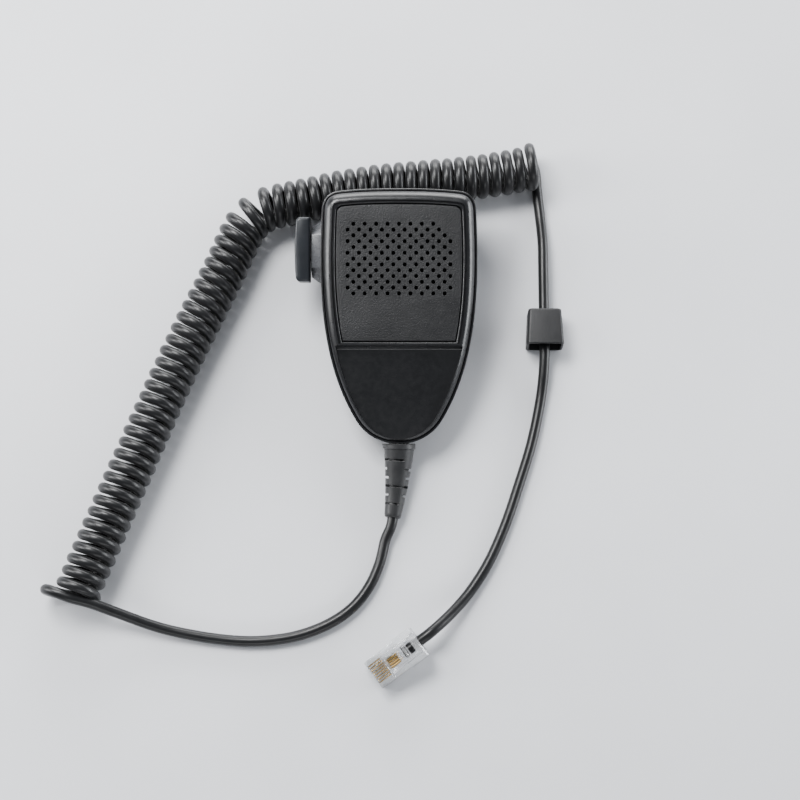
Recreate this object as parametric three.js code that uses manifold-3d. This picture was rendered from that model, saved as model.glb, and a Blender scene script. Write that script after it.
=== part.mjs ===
// A hand microphone for a mobile radio: wedge-shaped two-part case, push-to-talk bar on the left,
// hang-up button on the back, and a curly cord that ends in a clear eight-way modular plug.
// Millimetres, +Z up. The origin is the middle of the handset's footprint on the surface it lies on.
// The handset is modelled in its own frame: x right, y up the face, z out of the face.
import * as THREE from "three";
import { mergeVertices } from "three/addons/utils/BufferGeometryUtils.js";
import Module from "manifold-3d";

// ---------------------------------------------------------------- driving dimensions
const GAP = 0.3; // clearance between neighbouring pieces
const TILT = THREE.MathUtils.degToRad(12.5); // the face's tilt as the handset lies on its back
const BACK_SLOPE = THREE.MathUtils.degToRad(4.5); // the upper back against the face

const CASE_HALF_LENGTH = 48;
const CASE_HALF_WIDTH = 29.1;
const CASE_END_DEPTH = 16.5; // depth of the case at the cord end
const BACK_BREAK_Y = -22; // where the flat heel of the back meets the upper back
const WALL = 2.2;
const OUTLINE_STEPS = 6; // points along each of the outline's four curves

const RIM_Z = -3.2; // front edge of the rear shell
const REBATE_Z = -6.3; // ledge that the front shell's skirt rests on
const RIM_WALL = 0.8;
const SKIRT_INSET = RIM_WALL + GAP;
const SKIRT_WALL = 1.8;
const SKIN_Z = -3.8; // inner side of the front skin

const PANEL_INSET = 5.9;
const PANEL_BOTTOM_Y = -9;
const PANEL_TOP_Z = -0.1;
const PANEL_THICKNESS = 1.5;
const HOLE_ROWS = 13;
const HOLE_PITCH_X = 4.33;
const HOLE_PITCH_Y = 2.2;
const HOLE_TOP_Y = 35.5;
const HOLE_RADIUS = 0.72;
const FIELD_DEPTH = 1.7;
const FIELD_TOP_Y = -11.2;

const UPPER_SCREW = { x: 18, y: 40.5, shoulder: -14, tip: -17, post: -17.3, seat: -20.5 };
const LOWER_SCREW = { x: 11.5, y: -30, shoulder: -8.5, tip: -11.5, post: -11.8, seat: -14.8 };
const BOARD_TOP_Z = -14.3;
const BOARD_THICKNESS = 1.6;

const PTT_Y = 25.8;
const PTT_Z = -11.1;
const PTT_BAR_OUTER_X = -38.9;
const PTT_BAR_INNER_X = -32.8;
const PTT_BAR_HALF_LENGTH = 12.2;
const PTT_NECK_HALF_LENGTH = 13.4;
const PTT_NECK_HALF_HEIGHT = 4;
const PTT_FLANGE_X = -26.5;
const PTT_NIB_X = -19.76;
const SPRING_OFFSET_Y = 9.5;
const LEVER_ANGLE = THREE.MathUtils.degToRad(11.2); // how far the switch lever stands open
const LEVER_PIVOT = { x: -17.35, y: 31.4 };

const CORD_RADIUS = 2.05;
const CORD_Z = -8.6; // the cord's axis where it enters the case
const COIL_RADIUS = 8.5; // outside of the curly cord's turns
const RELIEF_SLEEVE_RADIUS = 3.9;
const CLAMP_Y = -38.5;

const BUTTON_Y = 24;
const BUTTON_HEAD_RADIUS = 6.5;
const BUTTON_NECK_RADIUS = 4.2;

const PLUG_LENGTH = 21.5;
const PLUG_HALF_WIDTH = 5.8;
const PLUG_HEIGHT = 8;
const PLUG_PITCH = THREE.MathUtils.degToRad(9); // it lies on its nose and its latch
const PLUG_YAW = THREE.MathUtils.degToRad(216.5);
const PLUG_REAR = { x: 13.1, y: -122 };
const PLUG_CORD_Z = 4.35;
const CONTACT_PITCH = 1.02;

const BOOT = { x: 61.5, mouthY: -8.3, rearY: 6.2, cordZ: 4.9 };

// Where the cord lies on the supporting surface: its lead rises to the top of the first turn.
const LEAD_ROUTE = [
  [-0.2, -83, 2.7],
  [-2.4, -92, 2.2],
  [-6.3, -101, 2.2],
  [-12, -108.5, 2.2],
  [-20, -114.5, 2.2],
  [-32.7, -119.7, 2.2],
  [-47.8, -121.9, 2.2],
  [-62.9, -121.2, 2.2],
  [-84.3, -117.3, 3.6],
  [-102, -111.5, 8.2],
  [-110.6, -108, 11.2],
  [-119, -105.3, 14],
  [-124.6, -103.1, 13.4],
  [-127.4, -101, 9.5],
];
const COIL_ROUTE = [
  [-115.1, -102.6, 8.6],
  [-97, -56.2, 8.6],
  [-79, -10.1, 8.6],
  [-61.6, 34.5, 8.6],
  [-57.8, 40.2, 8.6],
  [-51.9, 43.8, 8.6],
  [-38, 48.8, 8.6],
  [-20, 53.9, 8.6],
  [5, 57, 8.6],
  [26, 58.7, 8.6],
  [41, 60.6, 8.6],
  [55.5, 63.6, 8.6],
];
const TAIL_ROUTE = [
  [59.6, 66.5, 2.5],
  [60.3, 58, 2.3],
  [61, 46, 2.6],
  [61.5, 34, 4.3],
  [61.5, 24, 4.9],
  [61.5, 12, 4.9],
  [61.5, 0, 4.9],
  [61.5, -10, 4.9],
  [61.1, -18, 4.1],
  [59.9, -28, 2.5],
  [56.1, -45.7, 2.2],
  [51.3, -61, 2.2],
  [45.4, -78, 2.2],
  [38.7, -92.7, 2.2],
  [31.3, -104, 2.7],
  [24.4, -112, 5],
];

// ---------------------------------------------------------------- solids
const wasm = await Module();
wasm.setup();

function solid(geometry) {
  const plain = geometry.clone();
  plain.deleteAttribute("normal");
  plain.deleteAttribute("uv");
  const merged = mergeVertices(plain, 1e-4);
  return new wasm.Manifold(
    new wasm.Mesh({
      numProp: 3,
      vertProperties: new Float32Array(merged.attributes.position.array),
      triVerts: new Uint32Array(merged.index.array),
    }),
  );
}

function geometryOf(manifold) {
  const surface = manifold.getMesh();
  const geometry = new THREE.BufferGeometry();
  geometry.setAttribute("position", new THREE.BufferAttribute(surface.vertProperties, 3));
  geometry.setIndex(new THREE.BufferAttribute(surface.triVerts, 1));
  const faceted = geometry.toNonIndexed();
  faceted.computeVertexNormals();
  return faceted;
}

const join = (first, ...others) => others.reduce((sum, other) => sum.add(other), first);
const cut = (first, ...others) => others.reduce((rest, other) => rest.subtract(other), first);

// The largest of a solid's separate bodies; thin offcuts beside it are dropped.
const withoutOffcuts = (shape) => shape.decompose().reduce((a, b) => (b.volume() > a.volume() ? b : a));

// Rings of the same number of points, joined side by side and closed at both ends.
function loftGeometry(rings) {
  const count = rings[0].length;
  const positions = rings.flat().flatMap((p) => [p.x, p.y, p.z]);
  const index = [];
  for (let r = 0; r + 1 < rings.length; r += 1) {
    for (let i = 0; i < count; i += 1) {
      const j = (i + 1) % count;
      const a = r * count + i;
      const b = r * count + j;
      index.push(a, b, b + count, a, b + count, a + count);
    }
  }
  const last = (rings.length - 1) * count;
  for (let i = 1; i + 1 < count; i += 1) {
    index.push(0, i + 1, i);
    index.push(last, last + i, last + i + 1);
  }
  const geometry = new THREE.BufferGeometry();
  geometry.setAttribute("position", new THREE.Float32BufferAttribute(positions, 3));
  geometry.setIndex(index);
  return geometry;
}

function box(x0, x1, y0, y1, z0, z1) {
  const geometry = new THREE.BoxGeometry(x1 - x0, y1 - y0, z1 - z0);
  geometry.translate((x0 + x1) / 2, (y0 + y1) / 2, (z0 + z1) / 2);
  return solid(geometry);
}

// A round rod along z.
function rod(x, y, z0, z1, radius, sides = 20) {
  const geometry = new THREE.CylinderGeometry(radius, radius, z1 - z0, sides);
  geometry.rotateX(Math.PI / 2);
  geometry.translate(x, y, (z0 + z1) / 2);
  return solid(geometry);
}

function rodAlongY(x, z, y0, y1, radius, sides = 20) {
  const geometry = new THREE.CylinderGeometry(radius, radius, y1 - y0, sides);
  geometry.translate(x, (y0 + y1) / 2, z);
  return solid(geometry);
}

// A closed outline of [x, y] pairs drawn out along z.
function plate(points, z0, z1, holes = []) {
  const shape = new THREE.Shape(points.map(([x, y]) => new THREE.Vector2(x, y)));
  for (const hole of holes) {
    shape.holes.push(new THREE.Path(hole.map(([x, y]) => new THREE.Vector2(x, y))));
  }
  const geometry = new THREE.ExtrudeGeometry(shape, { depth: z1 - z0, bevelEnabled: false });
  geometry.translate(0, 0, z0);
  return solid(geometry);
}

// A closed outline of [y, z] pairs drawn out along x.
function slabAlongX(points, x0, x1) {
  const shape = new THREE.Shape(points.map(([y, z]) => new THREE.Vector2(y, z)));
  const geometry = new THREE.ExtrudeGeometry(shape, { depth: x1 - x0, bevelEnabled: false });
  geometry.rotateZ(Math.PI / 2);
  geometry.rotateY(Math.PI / 2);
  geometry.translate(x0, 0, 0);
  return solid(geometry);
}

// A closed outline of [x, z] pairs drawn out along y.
function slabAlongY(points, y0, y1) {
  const shape = new THREE.Shape(points.map(([x, z]) => new THREE.Vector2(x, z)));
  const geometry = new THREE.ExtrudeGeometry(shape, { depth: y1 - y0, bevelEnabled: false });
  geometry.rotateX(Math.PI / 2);
  geometry.translate(0, y1, 0);
  return solid(geometry);
}

// A closed profile of [radius, z] pairs turned about the z axis.
function turned(profile, sides = 28) {
  const geometry = new THREE.LatheGeometry(
    profile.map(([radius, z]) => new THREE.Vector2(radius, z)),
    sides,
  );
  geometry.rotateX(Math.PI / 2);
  return geometry;
}

function circle(x, y, radius, sides) {
  const points = [];
  for (let i = 0; i < sides; i += 1) {
    const angle = (2 * Math.PI * i) / sides;
    points.push([x + radius * Math.cos(angle), y + radius * Math.sin(angle)]);
  }
  return points;
}

// A round section drawn along a smooth curve through the points.
function tube(points, radius, sides, steps) {
  const section = new THREE.Shape(circle(0, 0, radius, sides).map(([x, y]) => new THREE.Vector2(x, y)));
  const path = new THREE.CatmullRomCurve3(points, false, "centripetal");
  return new THREE.ExtrudeGeometry(section, { steps, extrudePath: path });
}

const vector = ([x, y, z]) => new THREE.Vector3(x, y, z);

// ---------------------------------------------------------------- materials
const plastic = (color, roughness = 0.5) =>
  new THREE.MeshStandardMaterial({ color, roughness, metalness: 0 });
const metal = (color, roughness = 0.35) =>
  new THREE.MeshStandardMaterial({ color, roughness, metalness: 1 });

const blackGloss = () => plastic(0x16171a, 0.3);
const blackMatte = () => plastic(0x1b1c1f, 0.75);
const rubber = () => plastic(0x141517, 0.6);
const steel = () => metal(0xb9bdc2);
const brass = () => metal(0xb08d4a);
const gold = () => metal(0xd8ab4e, 0.25);
const nylon = () => plastic(0xe6e2d6, 0.5);
const clear = () =>
  new THREE.MeshStandardMaterial({ color: 0xe8edf0, roughness: 0.1, transparent: true, opacity: 0.4 });

// ---------------------------------------------------------------- the case's outline
const outlineCurves = [
  new THREE.CubicBezierCurve(
    new THREE.Vector2(0, CASE_HALF_LENGTH),
    new THREE.Vector2(8, CASE_HALF_LENGTH),
    new THREE.Vector2(16, CASE_HALF_LENGTH - 0.2),
    new THREE.Vector2(22.5, CASE_HALF_LENGTH - 1),
  ),
  new THREE.CubicBezierCurve(
    new THREE.Vector2(22.5, CASE_HALF_LENGTH - 1),
    new THREE.Vector2(26.9, CASE_HALF_LENGTH - 1.5),
    new THREE.Vector2(29, 43.9),
    new THREE.Vector2(CASE_HALF_WIDTH, 39.5),
  ),
  new THREE.CubicBezierCurve(
    new THREE.Vector2(CASE_HALF_WIDTH, 39.5),
    new THREE.Vector2(30.4, 12),
    new THREE.Vector2(29.9, -16),
    new THREE.Vector2(16.5, -38.7),
  ),
  new THREE.CubicBezierCurve(
    new THREE.Vector2(16.5, -38.7),
    new THREE.Vector2(13, -44.6),
    new THREE.Vector2(6.8, -CASE_HALF_LENGTH),
    new THREE.Vector2(0, -CASE_HALF_LENGTH),
  ),
];

// The outline as points and unit normals, anticlockwise from the top.
function outlineFrame() {
  const right = [];
  for (const curve of outlineCurves) {
    for (let i = 0; i < OUTLINE_STEPS; i += 1) {
      const t = i / OUTLINE_STEPS;
      const tangent = curve.getTangent(t);
      right.push({ point: curve.getPoint(t), normal: new THREE.Vector2(-tangent.y, tangent.x) });
    }
  }
  right[0].normal.set(0, 1);
  const bottom = {
    point: new THREE.Vector2(0, -CASE_HALF_LENGTH),
    normal: new THREE.Vector2(0, -1),
  };
  const left = right.slice(1).map(({ point, normal }) => ({
    point: new THREE.Vector2(-point.x, point.y),
    normal: new THREE.Vector2(-normal.x, normal.y),
  }));
  return [right[0], ...left, bottom, ...right.slice(1).reverse()];
}
const OUTLINE = outlineFrame();

// The outline moved inwards; topExtra moves the top end in further.
function outline(inset, topExtra = 0) {
  return OUTLINE.map(({ point, normal }) => {
    const shift = inset + topExtra * Math.max(0, normal.y) ** 2;
    return [point.x - normal.x * shift, point.y - normal.y * shift];
  });
}

// A solid lofted between outlines given as [inset, z, topExtra], from back to front.
function caseLoft(levels) {
  const rings = levels.map(([inset, z, topExtra]) =>
    outline(inset, topExtra).map(([x, y]) => new THREE.Vector3(x, y, z)),
  );
  return solid(loftGeometry(rings));
}

const heelDepth = (y) => CASE_END_DEPTH + (y + CASE_HALF_LENGTH) * Math.tan(TILT);
const BREAK_DEPTH = heelDepth(BACK_BREAK_Y);
const backDepth = (y) =>
  y < BACK_BREAK_Y ? heelDepth(y) : BREAK_DEPTH + (y - BACK_BREAK_Y) * Math.tan(BACK_SLOPE);

// Everything in front of the back surface, moved forward by the wall's thickness.
function inFrontOfBack(wall) {
  const reach = CASE_HALF_LENGTH + 12;
  return slabAlongX(
    [
      [-reach, 10],
      [-reach, wall - heelDepth(-reach)],
      [BACK_BREAK_Y, wall - BREAK_DEPTH],
      [reach, wall - backDepth(reach)],
      [reach, 10],
    ],
    -reach,
    reach,
  );
}

// ---------------------------------------------------------------- groups
const root = new THREE.Group();
const handset = new THREE.Group();
handset.rotation.x = TILT;
root.add(handset);

function add(group, name, shape, material) {
  const geometry = shape.isBufferGeometry ? shape : geometryOf(shape);
  const mesh = new THREE.Mesh(geometry, material);
  mesh.name = name;
  group.add(mesh);
  return mesh;
}

const bothSides = [-1, 1];

// ---------------------------------------------------------------- front of the case
function frontShell() {
  const outer = caseLoft([
    [SKIRT_INSET, REBATE_Z + GAP, 0],
    [SKIRT_INSET, -2.9, 0],
    [SKIRT_INSET + 0.5, -2.3, 0],
    [SKIRT_INSET + 2.5, 0, 0.9],
  ]);
  const hollow = caseLoft([
    [SKIRT_INSET + SKIRT_WALL, REBATE_Z - 1, 0],
    [SKIRT_INSET + SKIRT_WALL, SKIN_Z, 0],
  ]);
  const field = caseLoft([
    [SKIRT_INSET + 3.4, -FIELD_DEPTH, 0],
    [SKIRT_INSET + 3, 1, 0],
  ]).intersect(
    slabAlongX(
      [
        [FIELD_TOP_Y + 1.4, 2],
        [-60, 2],
        [-60, -3],
        [FIELD_TOP_Y - 0.6, -3],
      ],
      -40,
      40,
    ),
  );
  const seat = plate(panelOutline(-GAP), PANEL_TOP_Z - PANEL_THICKNESS - GAP, 2);
  const window = box(-20.5, 20.5, 7.6, 36.6, SKIN_Z - 1, 1);
  let shell = cut(outer, hollow, field, seat, window);
  for (const screw of [UPPER_SCREW, LOWER_SCREW]) {
    for (const side of bothSides) {
      const boss = join(
        rod(side * screw.x, screw.y, screw.shoulder, SKIN_Z + 0.2, 3.4, 14),
        rod(side * screw.x, screw.y, screw.tip, screw.shoulder + 0.1, 2.5, 14),
      );
      const pilot = rod(side * screw.x, screw.y, screw.tip - 1, SKIN_Z - 0.8, 1.5, 10);
      shell = shell.add(boss).subtract(pilot);
    }
  }
  for (const side of bothSides) {
    shell = shell.add(rod(side * 10, -23, BOARD_TOP_Z + GAP, SKIN_Z + 0.2, 1.8, 12));
  }
  return shell.subtract(reliefHole());
}

// The grille panel's outline, grown or shrunk by inset; its lower edge is straight.
function panelOutline(inset) {
  const bottom = PANEL_BOTTOM_Y + inset;
  const points = outline(PANEL_INSET + inset, 0.4);
  const upper = points.filter(([, y]) => y > bottom + 1);
  const widthAt = (y) => {
    const right = points.filter(([x]) => x > 0);
    for (let i = 0; i + 1 < right.length; i += 1) {
      const [x0, y0] = right[i];
      const [x1, y1] = right[i + 1];
      if (Math.min(y0, y1) <= y && y <= Math.max(y0, y1)) return x0 + ((x1 - x0) * (y - y0)) / (y1 - y0);
    }
    return 0;
  };
  const half = widthAt(bottom);
  const lowestLeft = upper.findIndex(([x], i) => x < 0 && upper[i + 1][0] > 0);
  return [...upper.slice(0, lowestLeft + 1), [-half, bottom], [half, bottom], ...upper.slice(lowestLeft + 1)];
}

// Thirteen staggered rows; the first two each lack their last hole.
function grilleHoles() {
  const holes = [];
  for (let row = 0; row < HOLE_ROWS; row += 1) {
    const full = row % 2 === 0 ? 9 : 10;
    const count = row < 2 ? full - 1 : full;
    for (let i = 0; i < count; i += 1) {
      const x = (i - (full - 1) / 2) * HOLE_PITCH_X;
      holes.push(circle(x, HOLE_TOP_Y - row * HOLE_PITCH_Y, HOLE_RADIUS, 5));
    }
  }
  return holes;
}

function grillePanel() {
  return plate(panelOutline(0), PANEL_TOP_Z - PANEL_THICKNESS, PANEL_TOP_Z, grilleHoles());
}

function dustScreen() {
  return box(-20, 20, 8.1, 36.2, -2.5, -2);
}

// ---------------------------------------------------------------- rear of the case
function rearShell() {
  const outer = caseLoft([
    [11, -29, 0],
    [6.2, -24.8, 0],
    [1.8, -19.6, 0],
    [0, -15.2, 0],
    [0, RIM_Z, 0],
  ]).intersect(inFrontOfBack(0));
  const inner = caseLoft([
    [12.4, -27, 0],
    [7.2, -22.8, 0],
    [WALL, -16.1, 0],
    [WALL, RIM_Z + 1, 0],
  ]).intersect(inFrontOfBack(WALL));
  const rebate = caseLoft([
    [RIM_WALL, REBATE_Z, 0],
    [RIM_WALL, RIM_Z + 1, 0],
  ]);
  const posts = [];
  const bores = [reliefHole(), pttSlot(), hangUpHole()];
  for (const side of bothSides) {
    for (const screw of [UPPER_SCREW, LOWER_SCREW]) {
      const x = side * screw.x;
      posts.push(rod(x, screw.y, -32, screw.post, 4.2, 16));
      bores.push(rod(x, screw.y, -34, screw.seat, 2.95, 18));
      bores.push(rod(x, screw.y, -34, screw.post + 1, 1.6, 10));
    }
    posts.push(rod(side * 10, -23, -30, BOARD_TOP_Z - BOARD_THICKNESS - GAP, 1.8, 12));
    posts.push(rod(side * 6.8, CLAMP_Y, -30, CORD_Z - 2.35, 2.2, 16));
    bores.push(rod(side * 6.8, CLAMP_Y, -15, 0, 1.2, 10));
  }
  const hollow = cut(inner, ...posts);
  return withoutOffcuts(cut(outer, hollow, rebate, ...bores));
}

function reliefHole() {
  return rodAlongY(0, CORD_Z, -60, -44, RELIEF_SLEEVE_RADIUS + GAP, 24);
}

function pttSlot() {
  const y = PTT_NECK_HALF_LENGTH + GAP;
  const z = PTT_NECK_HALF_HEIGHT + GAP;
  return box(-40, -20, PTT_Y - y, PTT_Y + y, PTT_Z - z, PTT_Z + z);
}

// ---------------------------------------------------------------- fasteners
// A pan head with a cross recess, its seat at z = 0 and its shank towards +z.
function panScrew(headRadius, headHeight, shankRadius, length) {
  const body = solid(
    turned(
      [
        [0, -headHeight],
        [headRadius * 0.75, -headHeight],
        [headRadius, -headHeight * 0.5],
        [headRadius, 0],
        [shankRadius, 0],
        [shankRadius, length],
        [0, length],
      ],
      12,
    ),
  );
  const slot = headRadius * 0.55;
  const recess = join(
    box(-slot, slot, -0.3, 0.3, -headHeight - 1, -headHeight * 0.45),
    box(-0.3, 0.3, -slot, slot, -headHeight - 1, -headHeight * 0.45),
  );
  return body.subtract(recess);
}

function addCaseScrews() {
  let number = 1;
  for (const screw of [UPPER_SCREW, LOWER_SCREW]) {
    for (const side of bothSides) {
      const length = screw.tip - screw.seat + 6;
      const mesh = add(handset, `case_screw_${number}`, panScrew(2.6, 1.8, 1.15, length), steel());
      mesh.position.set(side * screw.x, screw.y, screw.seat - GAP);
      number += 1;
    }
  }
}

// ---------------------------------------------------------------- circuit board and microphone
function circuitBoard() {
  const points = [
    [-18.8, 43.8],
    [-21.3, 41.4],
    [-21.5, -2],
    [-14, -25.3],
    [14, -25.3],
    [21.5, -2],
    [21.3, 41.4],
    [18.8, 43.8],
  ];
  const holes = bothSides.map((side) => circle(side * UPPER_SCREW.x, UPPER_SCREW.y, 2.5 + GAP, 16).reverse());
  return plate(points, BOARD_TOP_Z - BOARD_THICKNESS, BOARD_TOP_Z, holes);
}

const CAPSULE_Y = 22.3;

function addMicrophone() {
  const capsule = add(
    handset,
    "mic_capsule",
    solid(
      turned(
        [
          [0, -8.6],
          [4.85, -8.6],
          [4.85, -4.4],
          [4.4, -3.9],
          [0, -3.9],
        ],
        24,
      ),
    ),
    metal(0x9aa0a6, 0.4),
  );
  const boot = add(
    handset,
    "capsule_boot",
    solid(
      turned(
        [
          [3.6, BOARD_TOP_Z + GAP],
          [7, BOARD_TOP_Z + GAP],
          [7, -3],
          [5.2, -3],
          [5.2, -9],
          [3.6, -9],
          [3.6, BOARD_TOP_Z + GAP],
        ],
        24,
      ),
    ),
    rubber(),
  );
  capsule.position.y = CAPSULE_Y;
  boot.position.y = CAPSULE_Y;
  bothSides.forEach((side, i) => {
    const lead = rod(side * 1.3, CAPSULE_Y, BOARD_TOP_Z + GAP, -8.9, 0.4, 8);
    add(handset, `capsule_lead_${i + 1}`, lead, metal(0xc9ccd0, 0.3));
  });
}

function addBoardParts() {
  const onBoard = BOARD_TOP_Z + GAP;
  add(handset, "preamp_chip", box(9, 14.2, 1, 5, onBoard, onBoard + 1.6), blackMatte());
  add(handset, "capacitor", rod(13.5, 12.5, onBoard, onBoard + 5.2, 2.5, 16), plastic(0x1d2a4a, 0.35));
  const header = cut(
    box(-1, 9, -21, -15.5, onBoard, onBoard + 5),
    box(0, 8, -20, -16.5, onBoard + 2.5, onBoard + 6),
  );
  add(handset, "wire_header", header, nylon());
}

const WIRE_COLOURS = [0xa8261f, 0xd8d4c8, 0x2b4f9e, 0x3a7d44];

function addCordWires() {
  WIRE_COLOURS.forEach((color, i) => {
    const offset = i - 1.5;
    const path = [
      [offset * 0.7, -33.1, CORD_Z + (i % 2 === 0 ? -0.9 : 0.9)],
      [offset * 1.6 + 1, -29, CORD_Z + 0.4],
      [offset * 1.9 + 3, -23, -6.4],
      [offset * 1.9 + 4, -18.3, -8.2],
      [offset * 1.9 + 4, -18.3, -11],
    ].map(vector);
    add(handset, `cord_wire_${i + 1}`, tube(path, 0.45, 5, 8), plastic(color, 0.45));
  });
}

// ---------------------------------------------------------------- cord entry
// An omega-shaped strap over the cord, screwed to two posts.
function cordClamp() {
  const inner = CORD_RADIUS + 0.35;
  const outer = inner + 0.8;
  const earBottom = CORD_Z - 2.05;
  const earTop = earBottom + 0.8;
  const arc = (radius, from, to) => {
    const points = [];
    for (let i = 0; i <= 10; i += 1) {
      const angle = from + ((to - from) * i) / 10;
      points.push([radius * Math.cos(angle), CORD_Z + radius * Math.sin(angle)]);
    }
    return points;
  };
  const strap = slabAlongY(
    [
      [-9, earBottom],
      [-inner, earBottom],
      ...arc(inner, Math.PI, 0),
      [inner, earBottom],
      [9, earBottom],
      [9, earTop],
      [outer, earTop],
      ...arc(outer, 0, Math.PI),
      [-outer, earTop],
      [-9, earTop],
    ],
    CLAMP_Y - 2,
    CLAMP_Y + 2,
  );
  const holes = bothSides.map((side) => rod(side * 6.8, CLAMP_Y, -20, 0, 1.2, 10));
  return cut(strap, ...holes);
}

function addCordEntry() {
  add(handset, "cord_clamp", cordClamp(), steel());
  bothSides.forEach((side, i) => {
    const mesh = add(handset, `clamp_screw_${i + 1}`, panScrew(1.9, 1.2, 0.9, 4.6), steel());
    mesh.rotation.x = Math.PI;
    mesh.position.set(side * 6.8, CLAMP_Y, CORD_Z - 0.95);
  });
  add(handset, "cord_stub", rodAlongY(0, CORD_Z, -42, -33.5, CORD_RADIUS, 12), rubber());
}

// ---------------------------------------------------------------- push-to-talk
function pttBar() {
  const shape = new THREE.Shape();
  const half = PTT_BAR_HALF_LENGTH;
  shape.moveTo(PTT_BAR_INNER_X - 0.5, PTT_Y - half + 0.5);
  shape.lineTo(PTT_BAR_INNER_X - 0.5, PTT_Y + half - 0.5);
  shape.lineTo(PTT_BAR_OUTER_X + 1.4, PTT_Y + half - 0.5);
  shape.quadraticCurveTo(PTT_BAR_OUTER_X + 0.6, PTT_Y + half - 0.7, PTT_BAR_OUTER_X + 0.45, PTT_Y + half - 2);
  shape.quadraticCurveTo(PTT_BAR_OUTER_X - 0.35, PTT_Y, PTT_BAR_OUTER_X + 0.45, PTT_Y - half + 2);
  shape.quadraticCurveTo(PTT_BAR_OUTER_X + 0.6, PTT_Y - half + 0.7, PTT_BAR_OUTER_X + 1.4, PTT_Y - half + 0.5);
  const bevel = 0.5;
  const height = 11;
  const geometry = new THREE.ExtrudeGeometry(shape, {
    depth: height - 2 * bevel,
    bevelThickness: bevel,
    bevelSize: bevel,
    bevelSegments: 2,
    curveSegments: 6,
  });
  geometry.translate(0, 0, PTT_Z - height / 2 + bevel);
  return solid(geometry);
}

// A rectangle in a plane of constant x, as a ring for a loft along x.
function pttRing(x, halfY, halfZ) {
  return [
    [-1, -1],
    [1, -1],
    [1, 1],
    [-1, 1],
  ].map(([sy, sz]) => new THREE.Vector3(x, PTT_Y + sy * halfY, PTT_Z + sz * halfZ));
}

// The flared neck behind the bar, its flange inside the case and the nib that works the switch.
function pttNeck() {
  const stem = solid(
    loftGeometry([
      pttRing(PTT_BAR_INNER_X + GAP, 7, 3.4),
      pttRing(-29, PTT_NECK_HALF_LENGTH, PTT_NECK_HALF_HEIGHT),
      pttRing(PTT_FLANGE_X + 0.2, PTT_NECK_HALF_LENGTH, PTT_NECK_HALF_HEIGHT),
    ]),
  );
  const flange = box(
    PTT_FLANGE_X,
    PTT_FLANGE_X + 1.4,
    PTT_Y - PTT_NECK_HALF_LENGTH - 1,
    PTT_Y + PTT_NECK_HALF_LENGTH + 1,
    PTT_Z - 4.7,
    PTT_Z + 4.7,
  );
  const nib = box(PTT_FLANGE_X + 1, PTT_NIB_X, 20.3, 22.7, -12.4, -9.6);
  return join(stem, flange, nib);
}

const SPRING_START_X = PTT_FLANGE_X + 1.4 + GAP;
const SPRING_END_X = -19.7;

function pttSpring(y) {
  const turns = 4;
  const stepsPerTurn = 8;
  const meanRadius = 1.95;
  const points = [];
  for (let i = 0; i <= turns * stepsPerTurn; i += 1) {
    const angle = (2 * Math.PI * i) / stepsPerTurn;
    const along = i / (turns * stepsPerTurn);
    points.push(
      new THREE.Vector3(
        SPRING_START_X + 0.25 + (SPRING_END_X - SPRING_START_X - 0.5) * along,
        y + meanRadius * Math.cos(angle),
        PTT_Z + 0.4 + meanRadius * Math.sin(angle),
      ),
    );
  }
  return tube(points, 0.25, 4, turns * stepsPerTurn);
}

// The fixed plate that the springs push against, notched for the nib and the switch lever.
function springPlate() {
  return slabAlongX(
    [
      [13.8, BOARD_TOP_Z + GAP],
      [36.7, BOARD_TOP_Z + GAP],
      [36.7, -8],
      [32.6, -8],
      [32.6, -13.3],
      [18.8, -13.3],
      [18.8, -8],
      [13.8, -8],
    ],
    -19.4,
    -18.6,
  );
}

function addSwitch() {
  const body = cut(
    box(-17, -10.5, 19.4, 32.2, BOARD_TOP_Z + GAP, -7.8),
    box(-18, -15.6, 26.8, 29.2, -12.2, -9.8),
  );
  add(handset, "switch_body", body, plastic(0x26282c, 0.6));
  add(handset, "switch_button", box(-17.6, -16.5, 27.3, 28.7, -11.7, -10.3), plastic(0xb02a22, 0.5));
  const length = 11.4;
  const lever = box(-0.15, 0.15, -length, 0.2, -12.8, -9.2);
  const mesh = add(handset, "switch_lever", lever, steel());
  mesh.position.set(LEVER_PIVOT.x, LEVER_PIVOT.y, 0);
  mesh.rotation.z = -LEVER_ANGLE;
}

function addPushToTalk() {
  add(handset, "ptt_bar", pttBar(), plastic(0x2e3238, 0.45));
  add(handset, "ptt_neck", pttNeck(), plastic(0x8d9196, 0.3));
  bothSides.forEach((side, i) => {
    add(handset, `ptt_spring_${i + 1}`, pttSpring(PTT_Y + side * SPRING_OFFSET_Y), steel());
  });
  add(handset, "spring_plate", springPlate(), steel());
  addSwitch();
}

// ---------------------------------------------------------------- hang-up button
// Its own frame has z out of the back and its origin on the back's surface.
const hangUp = new THREE.Group();
hangUp.position.set(0, BUTTON_Y, -backDepth(BUTTON_Y));
hangUp.rotation.x = Math.PI + BACK_SLOPE * -1;
handset.add(hangUp);

// The height at which the head's edge and the heel lie on one flat surface.
const BUTTON_HEIGHT =
  ((BUTTON_Y - BACK_BREAK_Y) / Math.cos(BACK_SLOPE) - BUTTON_HEAD_RADIUS) * Math.tan(TILT - BACK_SLOPE);

function hangUpHole() {
  hangUp.updateMatrix();
  const hole = rod(0, 0, -WALL - 3, 3, 1.7, 16);
  const geometry = geometryOf(hole);
  geometry.applyMatrix4(hangUp.matrix);
  return solid(geometry);
}

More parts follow.
